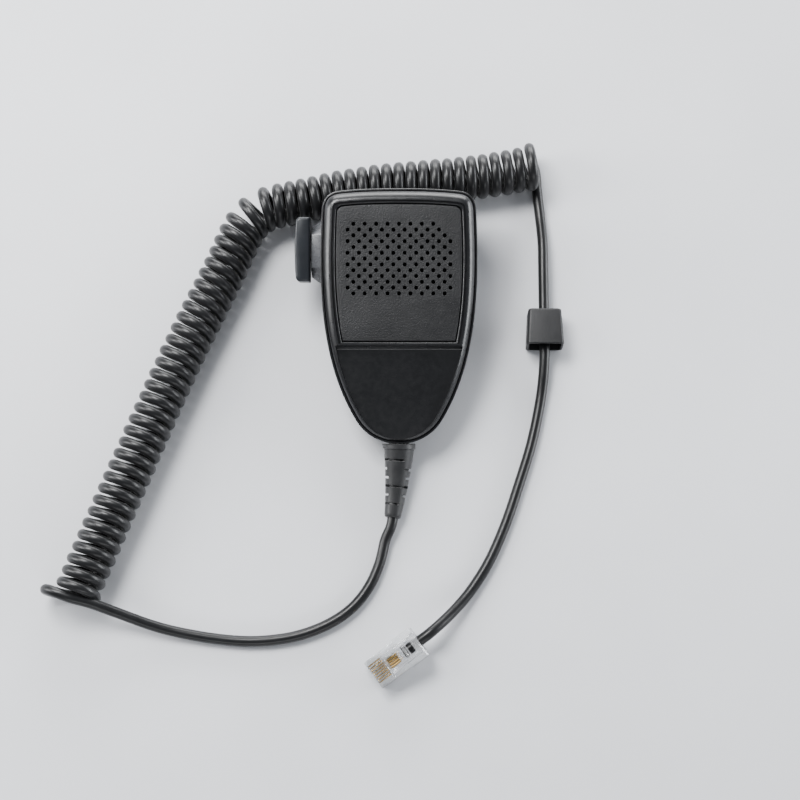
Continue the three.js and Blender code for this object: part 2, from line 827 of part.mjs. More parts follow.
function addHangUpButton() {
  const top = BUTTON_HEIGHT;
  const button = turned(
    [
      [1.7, GAP],
      [BUTTON_NECK_RADIUS, GAP],
      [BUTTON_NECK_RADIUS, top - 2],
      [BUTTON_HEAD_RADIUS, top - 2],
      [BUTTON_HEAD_RADIUS, top],
      [3, top],
      [3, top - 1.7],
      [1.7, top - 1.7],
      [1.7, GAP],
    ],
    24,
  );
  add(hangUp, "hang_up_button", solid(button), metal(0xa9adb3, 0.35));
  const screw = add(hangUp, "hang_up_screw", panScrew(2.6, 1.2, 1.3, 8.3), steel());
  screw.rotation.x = Math.PI;
  screw.position.z = top - 1.4;
  const plateSolid = box(-5, 5, -5, 5, -4, -2.6).subtract(rod(0, 0, -6, 0, 1.6, 12));
  add(hangUp, "hang_up_plate", plateSolid, brass());
  const wire = [
    [3.5, 3, -4.3],
    [4.5, 3.5, -6],
    [5.5, 3.6, -7.4],
  ].map(vector);
  add(hangUp, "hang_up_wire", tube(wire, 0.45, 6, 5), plastic(0x202124, 0.5));
}

// ---------------------------------------------------------------- strain relief and cord
// Circles of given radius across a path, joined into one solid.
function sleeve(stations, sides) {
  const rings = stations.map(({ centre, radius }, i) => {
    const before = stations[Math.max(0, i - 1)].centre;
    const after = stations[Math.min(stations.length - 1, i + 1)].centre;
    const along = after.clone().sub(before).normalize();
    const across = new THREE.Vector3(1, 0, 0).cross(along).normalize();
    const side = along.clone().cross(across);
    return circle(0, 0, radius, sides).map(([a, b]) =>
      centre.clone().addScaledVector(across, a).addScaledVector(side, b),
    );
  });
  return solid(loftGeometry(rings));
}

// The relief leaves the case along its axis and bends level with the surface it lies on.
function reliefPath() {
  const inside = handset.localToWorld(new THREE.Vector3(0, -42.3, CORD_Z));
  const outside = handset.localToWorld(new THREE.Vector3(0, -51, CORD_Z));
  return new THREE.CatmullRomCurve3(
    [inside, outside, ...[[4.3, -59, 5.35], [3.5, -67, 4.2], [2.4, -75, 3.6]].map(vector)],
    false,
    "centripetal",
  );
}

function strainRelief() {
  const path = reliefPath();
  const length = path.getLength();
  const stations = [
    [0, 4.5],
    [1.6, 4.5],
    [1.65, RELIEF_SLEEVE_RADIUS],
    [5.95, RELIEF_SLEEVE_RADIUS],
    [6, 6.3],
    [7.7, 6.3],
    [7.75, 5.8],
  ];
  const steps = 7;
  for (let i = 1; i <= steps; i += 1) {
    stations.push([7.75 + ((length - 7.75) * i) / steps, 5.8 + ((3.15 - 5.8) * i) / steps]);
  }
  let relief = sleeve(
    stations.map(([at, radius]) => ({ centre: path.getPointAt(at / length), radius })),
    16,
  );
  for (let i = 0; i < 7; i += 1) {
    relief = relief.subtract(reliefSlits(path, (11.4 + i * 3.1) / length, i % 2 === 0));
  }
  return relief;
}

// Two slits across the relief that leave its core: above and below, or on the two sides.
function reliefSlits(path, at, upright) {
  const core = 2.6;
  const half = 0.35;
  const frame = new THREE.Matrix4();
  const along = path.getTangentAt(at);
  const up = new THREE.Vector3(0, 0, 1).addScaledVector(along, -along.z).normalize();
  frame.makeBasis(along, up.clone().cross(along), up);
  frame.setPosition(path.getPointAt(at));
  const pair = upright
    ? join(box(-half, half, -8, 8, core, 9), box(-half, half, -8, 8, -9, -core))
    : join(box(-half, half, core, 9, -2.2, 2.2), box(-half, half, -9, -core, -2.2, 2.2));
  const geometry = geometryOf(pair);
  geometry.applyMatrix4(frame);
  return solid(geometry);
}

function addCord() {
  const path = reliefPath();
  const end = path.getPoint(1);
  const start = end.clone().addScaledVector(path.getTangent(1), GAP);
  const lead = [start, start.clone().addScaledVector(path.getTangent(1), 3), ...LEAD_ROUTE.map(vector)];
  add(root, "cord_lead", tube(lead, CORD_RADIUS, 8, 26), rubber());
  add(root, "cord_coil", tube(COIL_ROUTE.map(vector), COIL_RADIUS, 12, 22), rubber());
  const entry = [-5, 0, 7.5].map((x) => plug.localToWorld(new THREE.Vector3(x, 0, PLUG_CORD_Z)));
  add(root, "cord_tail", tube([...TAIL_ROUTE.map(vector), ...entry], CORD_RADIUS, 8, 28), rubber());
}

// ---------------------------------------------------------------- boot on the cord
// A tapered hollow block that slides along the cord and covers the plug in use.
function plugBoot() {
  const ring = (y, halfWidth, z0, z1) =>
    [
      [-halfWidth, z0],
      [halfWidth, z0],
      [halfWidth, z1],
      [-halfWidth, z1],
    ].map(([x, z]) => new THREE.Vector3(BOOT.x + x, y, z));
  const outer = solid(loftGeometry([ring(BOOT.rearY, 6.4, 0.05, 10.6), ring(BOOT.mouthY, 7.2, 0.05, 12)]));
  const cavity = solid(
    loftGeometry([ring(BOOT.rearY - 1.8, 5.3, 1.1, 9.4), ring(BOOT.mouthY - 1, 6.2, 1.1, 11)]),
  );
  const hole = rodAlongY(BOOT.x, BOOT.cordZ, BOOT.rearY - 4, BOOT.rearY + 2, CORD_RADIUS + 0.45, 16);
  return cut(outer, cavity, hole);
}

// ---------------------------------------------------------------- modular plug
// Its own frame has x from the cord end to the nose, y across and z up, with the latch below.
const plug = new THREE.Group();
plug.rotation.set(0, PLUG_PITCH, PLUG_YAW, "ZYX");
plug.position.set(PLUG_REAR.x, PLUG_REAR.y, PLUG_LENGTH * Math.sin(PLUG_PITCH) + 0.02);
root.add(plug);

function plugBody() {
  const front = slabAlongY(
    [
      [5, 0],
      [PLUG_LENGTH, 0],
      [PLUG_LENGTH, 6.4],
      [PLUG_LENGTH - 1.2, PLUG_HEIGHT],
      [15, PLUG_HEIGHT],
      [14.6, PLUG_HEIGHT - 0.5],
      [5, PLUG_HEIGHT - 0.5],
    ],
    -PLUG_HALF_WIDTH,
    PLUG_HALF_WIDTH,
  );
  const rear = slabAlongY(
    [
      [0, 0.4],
      [8, 0],
      [8, PLUG_HEIGHT],
      [0.8, PLUG_HEIGHT],
      [0, PLUG_HEIGHT - 0.8],
    ],
    -PLUG_HALF_WIDTH - 0.4,
    PLUG_HALF_WIDTH + 0.4,
  );
  const slots = [];
  for (let i = 0; i < 8; i += 1) {
    const y = (i - 3.5) * CONTACT_PITCH;
    slots.push(box(15.2, PLUG_LENGTH + 1, y - 0.33, y + 0.33, 4.9, PLUG_HEIGHT + 1));
  }
  return cut(
    join(front, rear),
    box(-1, 9.2, -4, 4, 2, 6.8),
    box(9, 18.6, -4.3, 4.3, 3.2, 4.75),
    box(6.5, PLUG_LENGTH + 1, -3.4, 3.4, -1, 1.35),
    box(2.8, 4.9, -2.7, 2.7, 6, PLUG_HEIGHT + 1),
    box(5.5, 7.2, -2.7, 2.7, 6, PLUG_HEIGHT + 1),
    box(9.6, 14, -2.4, 2.4, 4.5, PLUG_HEIGHT + 1),
    ...slots,
  );
}

// The locking tab below the plug: wide at the nose, narrow at its free end.
function plugLatch() {
  const wide = slabAlongY(
    [
      [12, -1.17],
      [19.8, 0.1],
      [19.8, 1.05],
      [12, -0.24],
    ],
    -3.1,
    3.1,
  );
  const narrow = slabAlongY(
    [
      [4.5, -2.4],
      [12.1, -1.16],
      [12.1, -0.23],
      [4.5, -1.5],
    ],
    -1.6,
    1.6,
  );
  return join(wide, narrow);
}

function addPlug() {
  add(plug, "plug_body", plugBody(), clear());
  add(plug, "plug_latch", plugLatch(), clear());
  add(plug, "plug_clamp_bar", box(5.8, 6.9, -2.3, 2.3, 6.75, 7.4), clear());
  for (let i = 0; i < 8; i += 1) {
    const y = (i - 3.5) * CONTACT_PITCH;
    add(plug, `plug_contact_${i + 1}`, box(15.5, 21, y - 0.15, y + 0.15, 5.15, 7.3), gold());
  }
  for (let i = 0; i < 4; i += 1) {
    const geometry = new THREE.CylinderGeometry(0.4, 0.4, 9.7, 8);
    geometry.rotateZ(Math.PI / 2);
    geometry.translate(13.2, (i - 1.5) * CONTACT_PITCH, 3.95);
    add(plug, `plug_wire_${i + 1}`, solid(geometry), plastic(0xb9833a, 0.5));
  }
}

// ---------------------------------------------------------------- assembly
add(handset, "front_shell", frontShell(), blackGloss());
add(handset, "grille_panel", grillePanel(), blackMatte());
add(handset, "dust_screen", dustScreen(), plastic(0x101113, 0.95));
add(handset, "rear_shell", rearShell(), blackGloss());
addCaseScrews();
add(handset, "circuit_board", circuitBoard(), plastic(0x1f5a35, 0.5));
addMicrophone();
addBoardParts();
addCordWires();
addCordEntry();
addPushToTalk();
addHangUpButton();

// Stand the handset on z = 0 with the middle of its footprint at the origin.
handset.updateMatrixWorld(true);
const bounds = new THREE.Box3().setFromObject(handset, true);
const middle = bounds.getCenter(new THREE.Vector3());
handset.position.set(-middle.x, -middle.y, -bounds.min.z);
root.updateMatrixWorld(true);

add(root, "strain_relief", strainRelief(), rubber());
add(root, "plug_boot", plugBoot(), rubber());
addPlug();
root.updateMatrixWorld(true);
addCord();

export default root;
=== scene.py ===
# A hand microphone with a curly cord, lying on its back on a pale surface.
# Lengths are given in millimetres and scaled to metres when a piece is made.
import math
import random

import bmesh
import bpy
import numpy as np
from mathutils import Matrix, Vector


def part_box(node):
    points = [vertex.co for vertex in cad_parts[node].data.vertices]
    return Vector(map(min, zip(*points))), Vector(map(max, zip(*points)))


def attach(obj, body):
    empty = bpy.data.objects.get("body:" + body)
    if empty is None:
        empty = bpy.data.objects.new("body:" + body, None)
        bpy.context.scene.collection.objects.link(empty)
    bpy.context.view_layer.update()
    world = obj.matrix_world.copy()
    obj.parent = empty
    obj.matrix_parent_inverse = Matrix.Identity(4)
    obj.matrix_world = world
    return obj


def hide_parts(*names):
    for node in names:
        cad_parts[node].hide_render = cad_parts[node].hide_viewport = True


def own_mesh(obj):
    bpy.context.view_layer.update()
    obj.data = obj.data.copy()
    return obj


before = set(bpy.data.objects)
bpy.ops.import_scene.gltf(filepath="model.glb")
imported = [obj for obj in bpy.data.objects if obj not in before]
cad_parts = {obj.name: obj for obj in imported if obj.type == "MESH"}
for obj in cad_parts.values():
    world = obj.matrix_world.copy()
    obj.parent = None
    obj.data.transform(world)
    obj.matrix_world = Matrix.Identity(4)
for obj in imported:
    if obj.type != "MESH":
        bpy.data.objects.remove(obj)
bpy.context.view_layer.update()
MM = 0.001

# ---- driving dimensions
TILT = math.radians(12.5)  # the face against the surface
BACK_SLOPE = math.radians(4.5)  # the upper back against the face
HALF_LENGTH = 48.0
END_DEPTH = 16.5
BACK_BREAK_Y = -22.0
WALL = 2.2
RIM_Z = -3.2
REBATE_Z = -6.3
SKIN_Z = -3.8
PANEL_TOP_Z = -0.1
PANEL_THICKNESS = 1.5
PANEL_INSET = 5.9
PANEL_BOTTOM_Y = -9.0
PANEL_SHAPE = {"corner": 2.4, "centre": (0, 19)}
FIELD_DEPTH = 1.7
CORD_R = 2.05
CORD_Z = -8.6
TURN_R = 6.85  # from the coil's axis to the middle of the cord
PITCH = 4.82
PTT_Y = 25.8
PTT_Z = -11.1
BAR_RISE = 0.6  # the bar's middle above the middle of its neck
UPPER_SCREW = (18.0, 40.5, -17.3, -20.5)  # x, y, top of its post, seat of its head
LOWER_SCREW = (11.5, -30.0, -11.8, -14.8)
CLAMP_Y = -38.5
BUTTON_Y = 24.0


def handset_matrix():
    """The handset's own frame, in millimetres, placed by the circuit board's box."""
    low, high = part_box("circuit_board")
    board_low_y, board_top_z, board_bottom_z = -25.3, -14.3, -15.9
    x = (low.x + high.x) / 2 / MM
    y = low.y / MM - board_low_y * math.cos(TILT) + board_top_z * math.sin(TILT)
    z = low.z / MM - board_low_y * math.sin(TILT) - board_bottom_z * math.cos(TILT)
    return Matrix.Scale(MM, 4) @ Matrix.Translation((x, y, z)) @ Matrix.Rotation(TILT, 4, "X")


HANDSET = handset_matrix()
TABLE = Matrix.Scale(MM, 4)

# ---- camera
camera_data = bpy.data.cameras.new("camera")
camera_data.lens = 86.67
camera = bpy.data.objects.new("camera", camera_data)
bpy.context.scene.collection.objects.link(camera)
aim = Vector((0.00528, -0.02813, 0))  # the point on the table in the middle of the view
elevation = math.radians(77.5)
distance = 0.75
camera.location = aim + distance * Vector((0, -math.cos(elevation), math.sin(elevation)))
camera.rotation_euler = (math.pi / 2 - elevation, 0, 0)
camera_data.clip_start = 0.01
bpy.context.scene.camera = camera


# ---- materials
def feed(tree, node, **inputs):
    """Sets a node's inputs by name; a value that is another node's output is linked."""
    for name, value in inputs.items():
        socket = node.inputs[name.replace("_", " ")]
        if isinstance(value, bpy.types.NodeSocket):
            tree.links.new(value, socket)
        else:
            socket.default_value = value


def new_node(tree, kind, **inputs):
    node = tree.nodes.new("ShaderNode" + kind)
    feed(tree, node, **inputs)
    return node


def shader(name, base, roughness, **inputs):
    """A principled material; its node tree, its shader and its object coordinates."""
    material = bpy.data.materials.new(name)
    material.use_nodes = True
    tree = material.node_tree
    bsdf = tree.nodes["Principled BSDF"]
    feed(tree, bsdf, Base_Color=(*base, 1), Roughness=roughness, **inputs)
    return material, tree, bsdf, new_node(tree, "TexCoord").outputs["Object"]


def noise(tree, at, scale, detail=3.0, roughness=0.55):
    """A noise texture's factor; scale is in features per metre."""
    inputs = {"Scale": scale, "Detail": detail, "Roughness": roughness}
    return new_node(tree, "TexNoise", Vector=at, **inputs).outputs["Fac"]


def spread(tree, factor, low, high):
    """A noise factor's usual range mapped to low and high."""
    inputs = {"From Min": 0.3, "From Max": 0.7, "To Min": low, "To Max": high}
    return new_node(tree, "MapRange", Value=factor, **inputs).outputs["Result"]


def tint(tree, factor, dark, light, start=0.3, end=0.7):
    """A colour ramp between two colours."""
    node = new_node(tree, "ValToRGB", Fac=factor)
    for stop, place, colour in zip(node.color_ramp.elements, (start, end), (dark, light)):
        stop.position = place
        stop.color = (*colour, 1)
    return node.outputs["Color"]


def bumps(tree, bsdf, layers):
    """Stacks bump nodes; each layer is a height factor, a strength and a distance in metres."""
    below = {}
    for height, strength, reach in layers:
        inputs = {"Height": height, "Strength": strength, "Distance": reach}
        node = new_node(tree, "Bump", **inputs, **below)
        below = {"Normal": node.outputs["Normal"]}
    feed(tree, bsdf, **below)


def moulded(name, base, light, roughness, grain=0.0, grain_scale=3500, gloss=0.5):
    """Moulded plastic: slight cloudiness, uneven gloss, faint orange peel, and any grain."""
    material, tree, bsdf, at = shader(name, base, roughness, Specular_IOR_Level=gloss)
    cloud = tint(tree, noise(tree, at, 60, 4), base, light)
    patch = noise(tree, at, 420, 5, 0.65)
    spots = spread(tree, patch, roughness * 0.86, min(1.0, roughness * 1.18))
    feed(tree, bsdf, Base_Color=cloud, Roughness=spots)
    layers = [(noise(tree, at, 500, 2), 0.05, 0.00004)]
    if grain:
        layers.append((noise(tree, at, grain_scale, 2, 0.5), grain, 0.00012))
        layers.append((noise(tree, at, grain_scale * 0.6, 2, 0.5), grain * 0.8, 0.0002))
    bumps(tree, bsdf, layers)
    return material


def rubber(name, base, light, roughness, sheen=0.0):
    """Soft rubber: matt, with a fine skin and dusty patches."""
    sockets = {"Sheen Weight": sheen, "Sheen Roughness": 0.45}
    material, tree, bsdf, at = shader(name, base, roughness, **sockets)
    dust = tint(tree, noise(tree, at, 150, 5, 0.6), base, light, 0.35, 0.75)
    gloss = spread(tree, noise(tree, at, 700, 4), roughness * 0.85, roughness * 1.15)
    feed(tree, bsdf, Base_Color=dust, Roughness=gloss)
    skin, swell = noise(tree, at, 5200, 2), noise(tree, at, 260, 3)
    bumps(tree, bsdf, [(skin, 0.18, 0.00003), (swell, 0.15, 0.00008)])
    return material


def brushed(name, base, roughness, scale=(60, 60, 4000)):
    """Metal with fine lines along one direction and a little unevenness."""
    material, tree, bsdf, at = shader(name, base, roughness, Metallic=1.0)
    stretched = new_node(tree, "Mapping", Vector=at, Scale=scale).outputs["Vector"]
    lines = noise(tree, stretched, 1.0, 4, 0.6)
    stain = tint(tree, noise(tree, at, 240, 4), tuple(0.84 * c for c in base), base)
    gloss = spread(tree, lines, roughness * 0.8, roughness * 1.3)
    feed(tree, bsdf, Base_Color=stain, Roughness=gloss)
    bumps(tree, bsdf, [(lines, 0.12, 0.00002)])
    return material


def clear_plastic(name):
    """Clear polycarbonate, slightly hazed by its mould."""
    sockets = {"Transmission Weight": 0.83, "IOR": 1.58, "Coat Weight": 0.4, "Coat Roughness": 0.06}
    material, tree, bsdf, at = shader(name, (0.97, 0.985, 1.0), 0.12, **sockets)
    haze = spread(tree, noise(tree, at, 400, 4, 0.6), 0.03, 0.18)
    flow = tint(tree, noise(tree, at, 900, 3), (0.93, 0.95, 0.97), (1, 1, 1))
    feed(tree, bsdf, Base_Color=flow, Roughness=haze)
    bumps(tree, bsdf, [(noise(tree, at, 1300, 3), 0.2, 0.00006)])
    return material


def dust_cloth():
    """Open woven cloth behind the grille."""
    material, tree, bsdf, at = shader("dust cloth", (0.006, 0.006, 0.0065), 0.9)
    both = new_node(tree, "Math")
    both.operation = "MULTIPLY"
    for direction, socket in zip("XY", both.inputs):
        wave = new_node(tree, "TexWave", Vector=at, Scale=900)
        wave.bands_direction = direction
        tree.links.new(wave.outputs["Fac"], socket)
    weave = both.outputs[0]
    feed(tree, bsdf, Base_Color=tint(tree, weave, (0.003, 0.003, 0.003), (0.012, 0.012, 0.013)))
    bumps(tree, bsdf, [(weave, 0.6, 0.0001)])
    return material


# base colour, lighter colour of the cloudy patches, roughness, then grain or sheen
case_black = moulded(
    "case black", (0.009, 0.0093, 0.0103), (0.0125, 0.0129, 0.0142), 0.3, gloss=0.65
)
field_black = moulded(
    "field black", (0.008, 0.0084, 0.0092), (0.012, 0.0124, 0.0135), 0.36, 0.12, 4200
)
panel_black = moulded(
    "panel black", (0.014, 0.0143, 0.0152), (0.024, 0.0245, 0.0255), 0.47, 1.0, 2600
)
bar_grey = moulded("bar grey", (0.016, 0.0185, 0.022), (0.022, 0.025, 0.03), 0.38, 0.1, 3800)
neck_grey = moulded(
    "neck grey", (0.085, 0.088, 0.094), (0.115, 0.118, 0.125), 0.27, 0.04, 3000, 0.65
)
boot_black = moulded(
    "boot black", (0.013, 0.0133, 0.0142), (0.019, 0.0194, 0.0205), 0.46, 0.22, 2600
)
cord_black = rubber("cord black", (0.0085, 0.0088, 0.0096), (0.0135, 0.0138, 0.0148), 0.36, 0.12)
relief_black = rubber("relief black", (0.016, 0.0165, 0.0175), (0.028, 0.0286, 0.0298), 0.45, 0.3)
soft_black = rubber("soft black", (0.012, 0.012, 0.013), (0.02, 0.02, 0.021), 0.6)
plug_clear = clear_plastic("plug clear")
steel = brushed("plated steel", (0.56, 0.56, 0.55), 0.28)
button_metal = brushed("turned metal", (0.58, 0.585, 0.6), 0.32, (900, 900, 60))
gold = brushed("contact gold", (0.87, 0.62, 0.26), 0.22, (900, 60, 60))
brass = brushed("brass", (0.7, 0.52, 0.26), 0.33)
can_metal = brushed("capsule can", (0.6, 0.61, 0.63), 0.3, (60, 60, 2500))
board_green = moulded("board green", (0.008, 0.06, 0.022), (0.012, 0.085, 0.03), 0.32, 0.2, 1500)
chip_black = moulded("chip black", (0.01, 0.01, 0.011), (0.016, 0.016, 0.017), 0.6, 0.5, 3000)
sleeve_blue = moulded("sleeve blue", (0.008, 0.014, 0.045), (0.012, 0.02, 0.06), 0.3)
nylon = moulded("nylon", (0.62, 0.6, 0.52), (0.7, 0.68, 0.6), 0.42, 0.1)
switch_black = moulded("switch black", (0.014, 0.014, 0.016), (0.02, 0.02, 0.022), 0.5, 0.3)
switch_red = moulded("switch red", (0.3, 0.018, 0.012), (0.36, 0.024, 0.016), 0.38)


def wire(name, base):
    return moulded(name, tuple(c * 0.85 for c in base), base, 0.4, 0.08, 4000)


WIRES = [
    wire("wire red", (0.35, 0.02, 0.015)),
    wire("wire white", (0.62, 0.6, 0.53)),
    wire("wire blue", (0.03, 0.08, 0.32)),
    wire("wire green", (0.03, 0.22, 0.06)),
]
wire_black = wire("wire black", (0.015, 0.015, 0.016))
wire_ochre = wire("wire ochre", (0.55, 0.36, 0.13))
cloth = dust_cloth()


# ---- meshes
def link(name, data):
    piece = bpy.data.objects.new(name, data)
    bpy.context.scene.collection.objects.link(piece)
    return piece


def new_mesh(name, points, faces, matrix):
    """A piece from points in the matrix's own frame, its closed mesh facing outwards."""
    mesh = bpy.data.meshes.new(name)
    mesh.from_pydata([tuple(matrix @ Vector(p)) for p in points], [], faces)
    mesh.update()
    work = bmesh.new()
    work.from_mesh(mesh)
    bmesh.ops.recalc_face_normals(work, faces=work.faces)
    if work.calc_volume(signed=True) < 0:
        bmesh.ops.reverse_faces(work, faces=work.faces)
    work.to_mesh(mesh)
    work.free()
    return link(name, mesh)


def closed_loft(name, rings, matrix=HANDSET):
    """Rings of the same number of points, joined side by side and closed at both ends."""
    count = len(rings[0])
    points = [p for ring in rings for p in ring]
    faces = [tuple(reversed(range(count)))]
    for r in range(len(rings) - 1):
        for i in range(count):
            j = (i + 1) % count
            a, b = r * count, (r + 1) * count
            faces.append((a + i, a + j, b + j, b + i))
    last = (len(rings) - 1) * count
    faces.append(tuple(last + i for i in range(count)))
    return new_mesh(name, points, faces, matrix)


def block(name, x, y, z):
    """A box from x[0] to x[1], y[0] to y[1] and z[0] to z[1]."""
    rings = [[(x[0], y[0], h), (x[1], y[0], h), (x[1], y[1], h), (x[0], y[1], h)] for h in z]
    return closed_loft(name, rings)


def lathe(name, profile, sides, matrix):
    """A solid turned about z from (radius, z) pairs, which start and end on the axis, or
    otherwise close on themselves."""
    turn = [2 * math.pi * i / sides for i in range(sides)]
    capped = profile[0][0] == 0
    body = profile[1:-1] if capped else profile
    points = [(r * math.cos(a), r * math.sin(a), z) for r, z in body for a in turn]
    count = len(body)
    faces = []
    for i in range(sides):
        j = (i + 1) % sides
        for k in range(count - 1 if capped else count):
            a, b = k * sides, (k + 1) % count * sides
            faces.append((a + i, a + j, b + j, b + i))
        if capped:
            top = (count - 1) * sides
            faces += [(count * sides, j, i), (top + i, top + j, count * sides + 1)]
    if capped:
        points += [(0, 0, profile[0][1]), (0, 0, profile[-1][1])]
    return new_mesh(name, points, faces, matrix)


def rod(name, centre, z, radius, sides, matrix=HANDSET):
    """A round rod along z, from z[0] to z[1]."""
    x, y = centre
    turn = [2 * math.pi * i / sides for i in range(sides)]
    around = [(x + radius * math.cos(a), y + radius * math.sin(a)) for a in turn]
    return closed_loft(name, [[(*at, height) for at in around] for height in z], matrix)


def apply_modifiers(piece):
    """Bakes the piece's modifiers into its mesh."""
    graph = bpy.context.evaluated_depsgraph_get()
    mesh = bpy.data.meshes.new_from_object(piece.evaluated_get(graph))
    piece.modifiers.clear()
    old = piece.data
    piece.data = mesh
    bpy.data.meshes.remove(old)


def combine(piece, others, operation="DIFFERENCE"):
    """Cuts the others out of a piece, or joins them to it, and removes them."""
    for other in others:
        modifier = piece.modifiers.new("combine", "BOOLEAN")
        modifier.operation = operation
        modifier.solver = "MANIFOLD"
        modifier.object = other
    bpy.context.view_layer.update()
    apply_modifiers(piece)
    for other in others:
        bpy.data.objects.remove(other)
    return piece


def merged(pieces):
    """Several separate closed meshes as one object."""
    work = bmesh.new()
    for piece in pieces:
        work.from_mesh(piece.data)
    work.to_mesh(pieces[0].data)
    work.free()
    for piece in pieces[1:]:
        bpy.data.objects.remove(piece)
    return pieces[0]


def tidy(piece):
    """Removes hair-thin edges and joins flat triangles into whole faces."""
    merge = 0.002 * MM
    flat = math.radians(0.6)
    work = bmesh.new()
    work.from_mesh(piece.data)
    bmesh.ops.remove_doubles(work, verts=work.verts, dist=merge)
    bmesh.ops.dissolve_degenerate(work, dist=merge, edges=work.edges)
    bmesh.ops.dissolve_limit(work, angle_limit=flat, verts=work.verts, edges=work.edges)
    work.to_mesh(piece.data)
    work.free()


def round_edges(piece, width, segments=3, angle=30):
    """Bevels the edges that are sharper than the angle, in degrees."""
    modifier = piece.modifiers.new("edges", "BEVEL")
    modifier.width = width * MM
    modifier.segments = segments
    modifier.limit_method = "ANGLE"
    modifier.angle_limit = math.radians(angle)
    apply_modifiers(piece)


def smooth(piece, angle):
    """Smooth shading, apart from edges sharper than the angle, in degrees."""
    mesh = piece.data
    mesh.polygons.foreach_set("use_smooth", [True] * len(mesh.polygons))
    mesh.set_sharp_from_angle(angle=math.radians(angle))


def paint(piece, *materials):
    """Gives the piece these materials, the first of them on every face."""
    mesh = piece.data
    mesh.materials.clear()
    for material in materials:
        mesh.materials.append(material)
    mesh.polygons.foreach_set("material_index", [0] * len(mesh.polygons))


def finish_piece(piece, node, body="handset", angle=35):
    """Shades a finished piece, attaches it to the body it rides on, and hides the node it stands
    for.
    """
    smooth(piece, angle)
    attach(piece, body)
    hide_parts(node)
    return piece


# ---- curves
def catmull(points, step=0.25):
    """A centripetal Catmull-Rom curve through the points, sampled about every step."""
    given = [np.array(p, float) for p in points]
    given = [2 * given[0] - given[1], *given, 2 * given[-1] - given[-2]]
    line = [given[1]]
    for k in range(1, len(given) - 2):
        p0, p1, p2, p3 = given[k - 1 : k + 3]
        t1 = np.linalg.norm(p1 - p0) ** 0.5
        t2 = t1 + np.linalg.norm(p2 - p1) ** 0.5
        t3 = t2 + np.linalg.norm(p3 - p2) ** 0.5
        count = max(2, int(np.linalg.norm(p2 - p1) / step))
        for i in range(1, count + 1):
            t = t1 + (t2 - t1) * i / count
            a1 = p0 + (p1 - p0) * (t / t1)
            a2 = p1 + (p2 - p1) * ((t - t1) / (t2 - t1))
            a3 = p2 + (p3 - p2) * ((t - t2) / (t3 - t2))
            b1 = a1 + (a2 - a1) * (t / t2)
            b2 = a2 + (a3 - a2) * ((t - t1) / (t3 - t1))
            line.append(b1 + (b2 - b1) * ((t - t1) / (t2 - t1)))
    return np.array(line)


def arc_lengths(line):
    """The distance along the line to each of its points."""
    return np.concatenate([[0], np.cumsum(np.linalg.norm(np.diff(line, axis=0), axis=1))])


def resample(line, step):
    """The line again, with even points about a step apart."""
    along = arc_lengths(line)
    count = max(2, int(round(along[-1] / step)) + 1)
    at = np.linspace(0, along[-1], count)
    return np.stack([np.interp(at, along, line[:, k]) for k in range(3)], axis=1)


def softened(line, sigma, step):
    """The line smoothed along its length, its ends running on straight."""
    reach = int(4 * sigma / step)
    weights = np.exp(-0.5 * (np.arange(-reach, reach + 1) * step / sigma) ** 2)
    weights /= weights.sum()
    before = line[0] - np.outer(np.arange(reach, 0, -1), line[1] - line[0])
    after = line[-1] + np.outer(np.arange(1, reach + 1), line[-1] - line[-2])
    padded = np.concatenate([before, line, after])
    return np.stack([np.convolve(padded[:, k], weights, "valid") for k in range(3)], axis=1)


# ---- cord
# Where the cord lies, in millimetres on the table: the route of the plain solids, with the
# coil's bend and its ends drawn more finely.
LEAD_ROUTE = [
    (-0.2, -83, 2.7), (-2.4, -92, 2.2), (-6.3, -101, 2.2), (-12, -108.5, 2.2),
    (-20, -114.5, 2.2), (-32.7, -119.7, 2.2), (-47.8, -121.9, 2.2), (-62.9, -121.2, 2.2),
    (-84.3, -117.3, 3.6), (-102, -111.5, 8.2), (-110.6, -108.6, 11.2), (-118.6, -106.6, 13.9),
]
COIL_Z = 9.05
COIL_ROUTE = [
    (-115.6, -102.6), (-97, -56.2), (-78, -10.1), (-61.9, 24.6), (-56.6, 38), (-54.4, 43.4),
    (-50.2, 47.2), (-44.6, 48.2), (-38, 48.6), (-20, 53.4), (5, 57), (26, 58.7), (41, 60.6),
    (55, 63.4),
]
TAIL_ROUTE = [
    (59.6, 58, 2.3), (60.7, 46, 2.6), (61.5, 34, 4.3), (61.5, 24, 4.9), (61.5, 12, 4.9),
    (61.5, 0, 4.9), (61.5, -10, 4.9), (61.1, -18, 4.1), (59.9, -28, 2.5), (56.1, -45.7, 2.2),
    (51.3, -61, 2.2), (45.4, -78, 2.2), (38.7, -92.7, 2.2), (31.3, -104, 2.7), (24.4, -112, 5),
]
RELIEF_ROUTE = [(4.3, -59, 5.35), (3.5, -67, 4.2), (2.4, -75, 3.6)]
COIL_OVERRUN = (3.8, 4.4)  # how far the turns run past the ends of the coil's route
POINTS_PER_TURN = 24
PLUG_LENGTH = 21.5
PLUG_PITCH = math.radians(9)
PLUG_YAW = math.radians(216.5)
PLUG_REAR = (13.1, -122)
PLUG_CORD_Z = 4.35
PLUG_WIRES = [f"plug_wire_{i}" for i in range(1, 5)]


def plug_matrix():
    """The plug's own frame: x from its cord end to its nose, z up."""
    rise = PLUG_LENGTH * math.sin(PLUG_PITCH) + 0.02
    turn = Matrix.Rotation(PLUG_YAW, 4, "Z") @ Matrix.Rotation(PLUG_PITCH, 4, "Y")
    return Matrix.Scale(MM, 4) @ Matrix.Translation((*PLUG_REAR, rise)) @ turn


PLUG = plug_matrix()


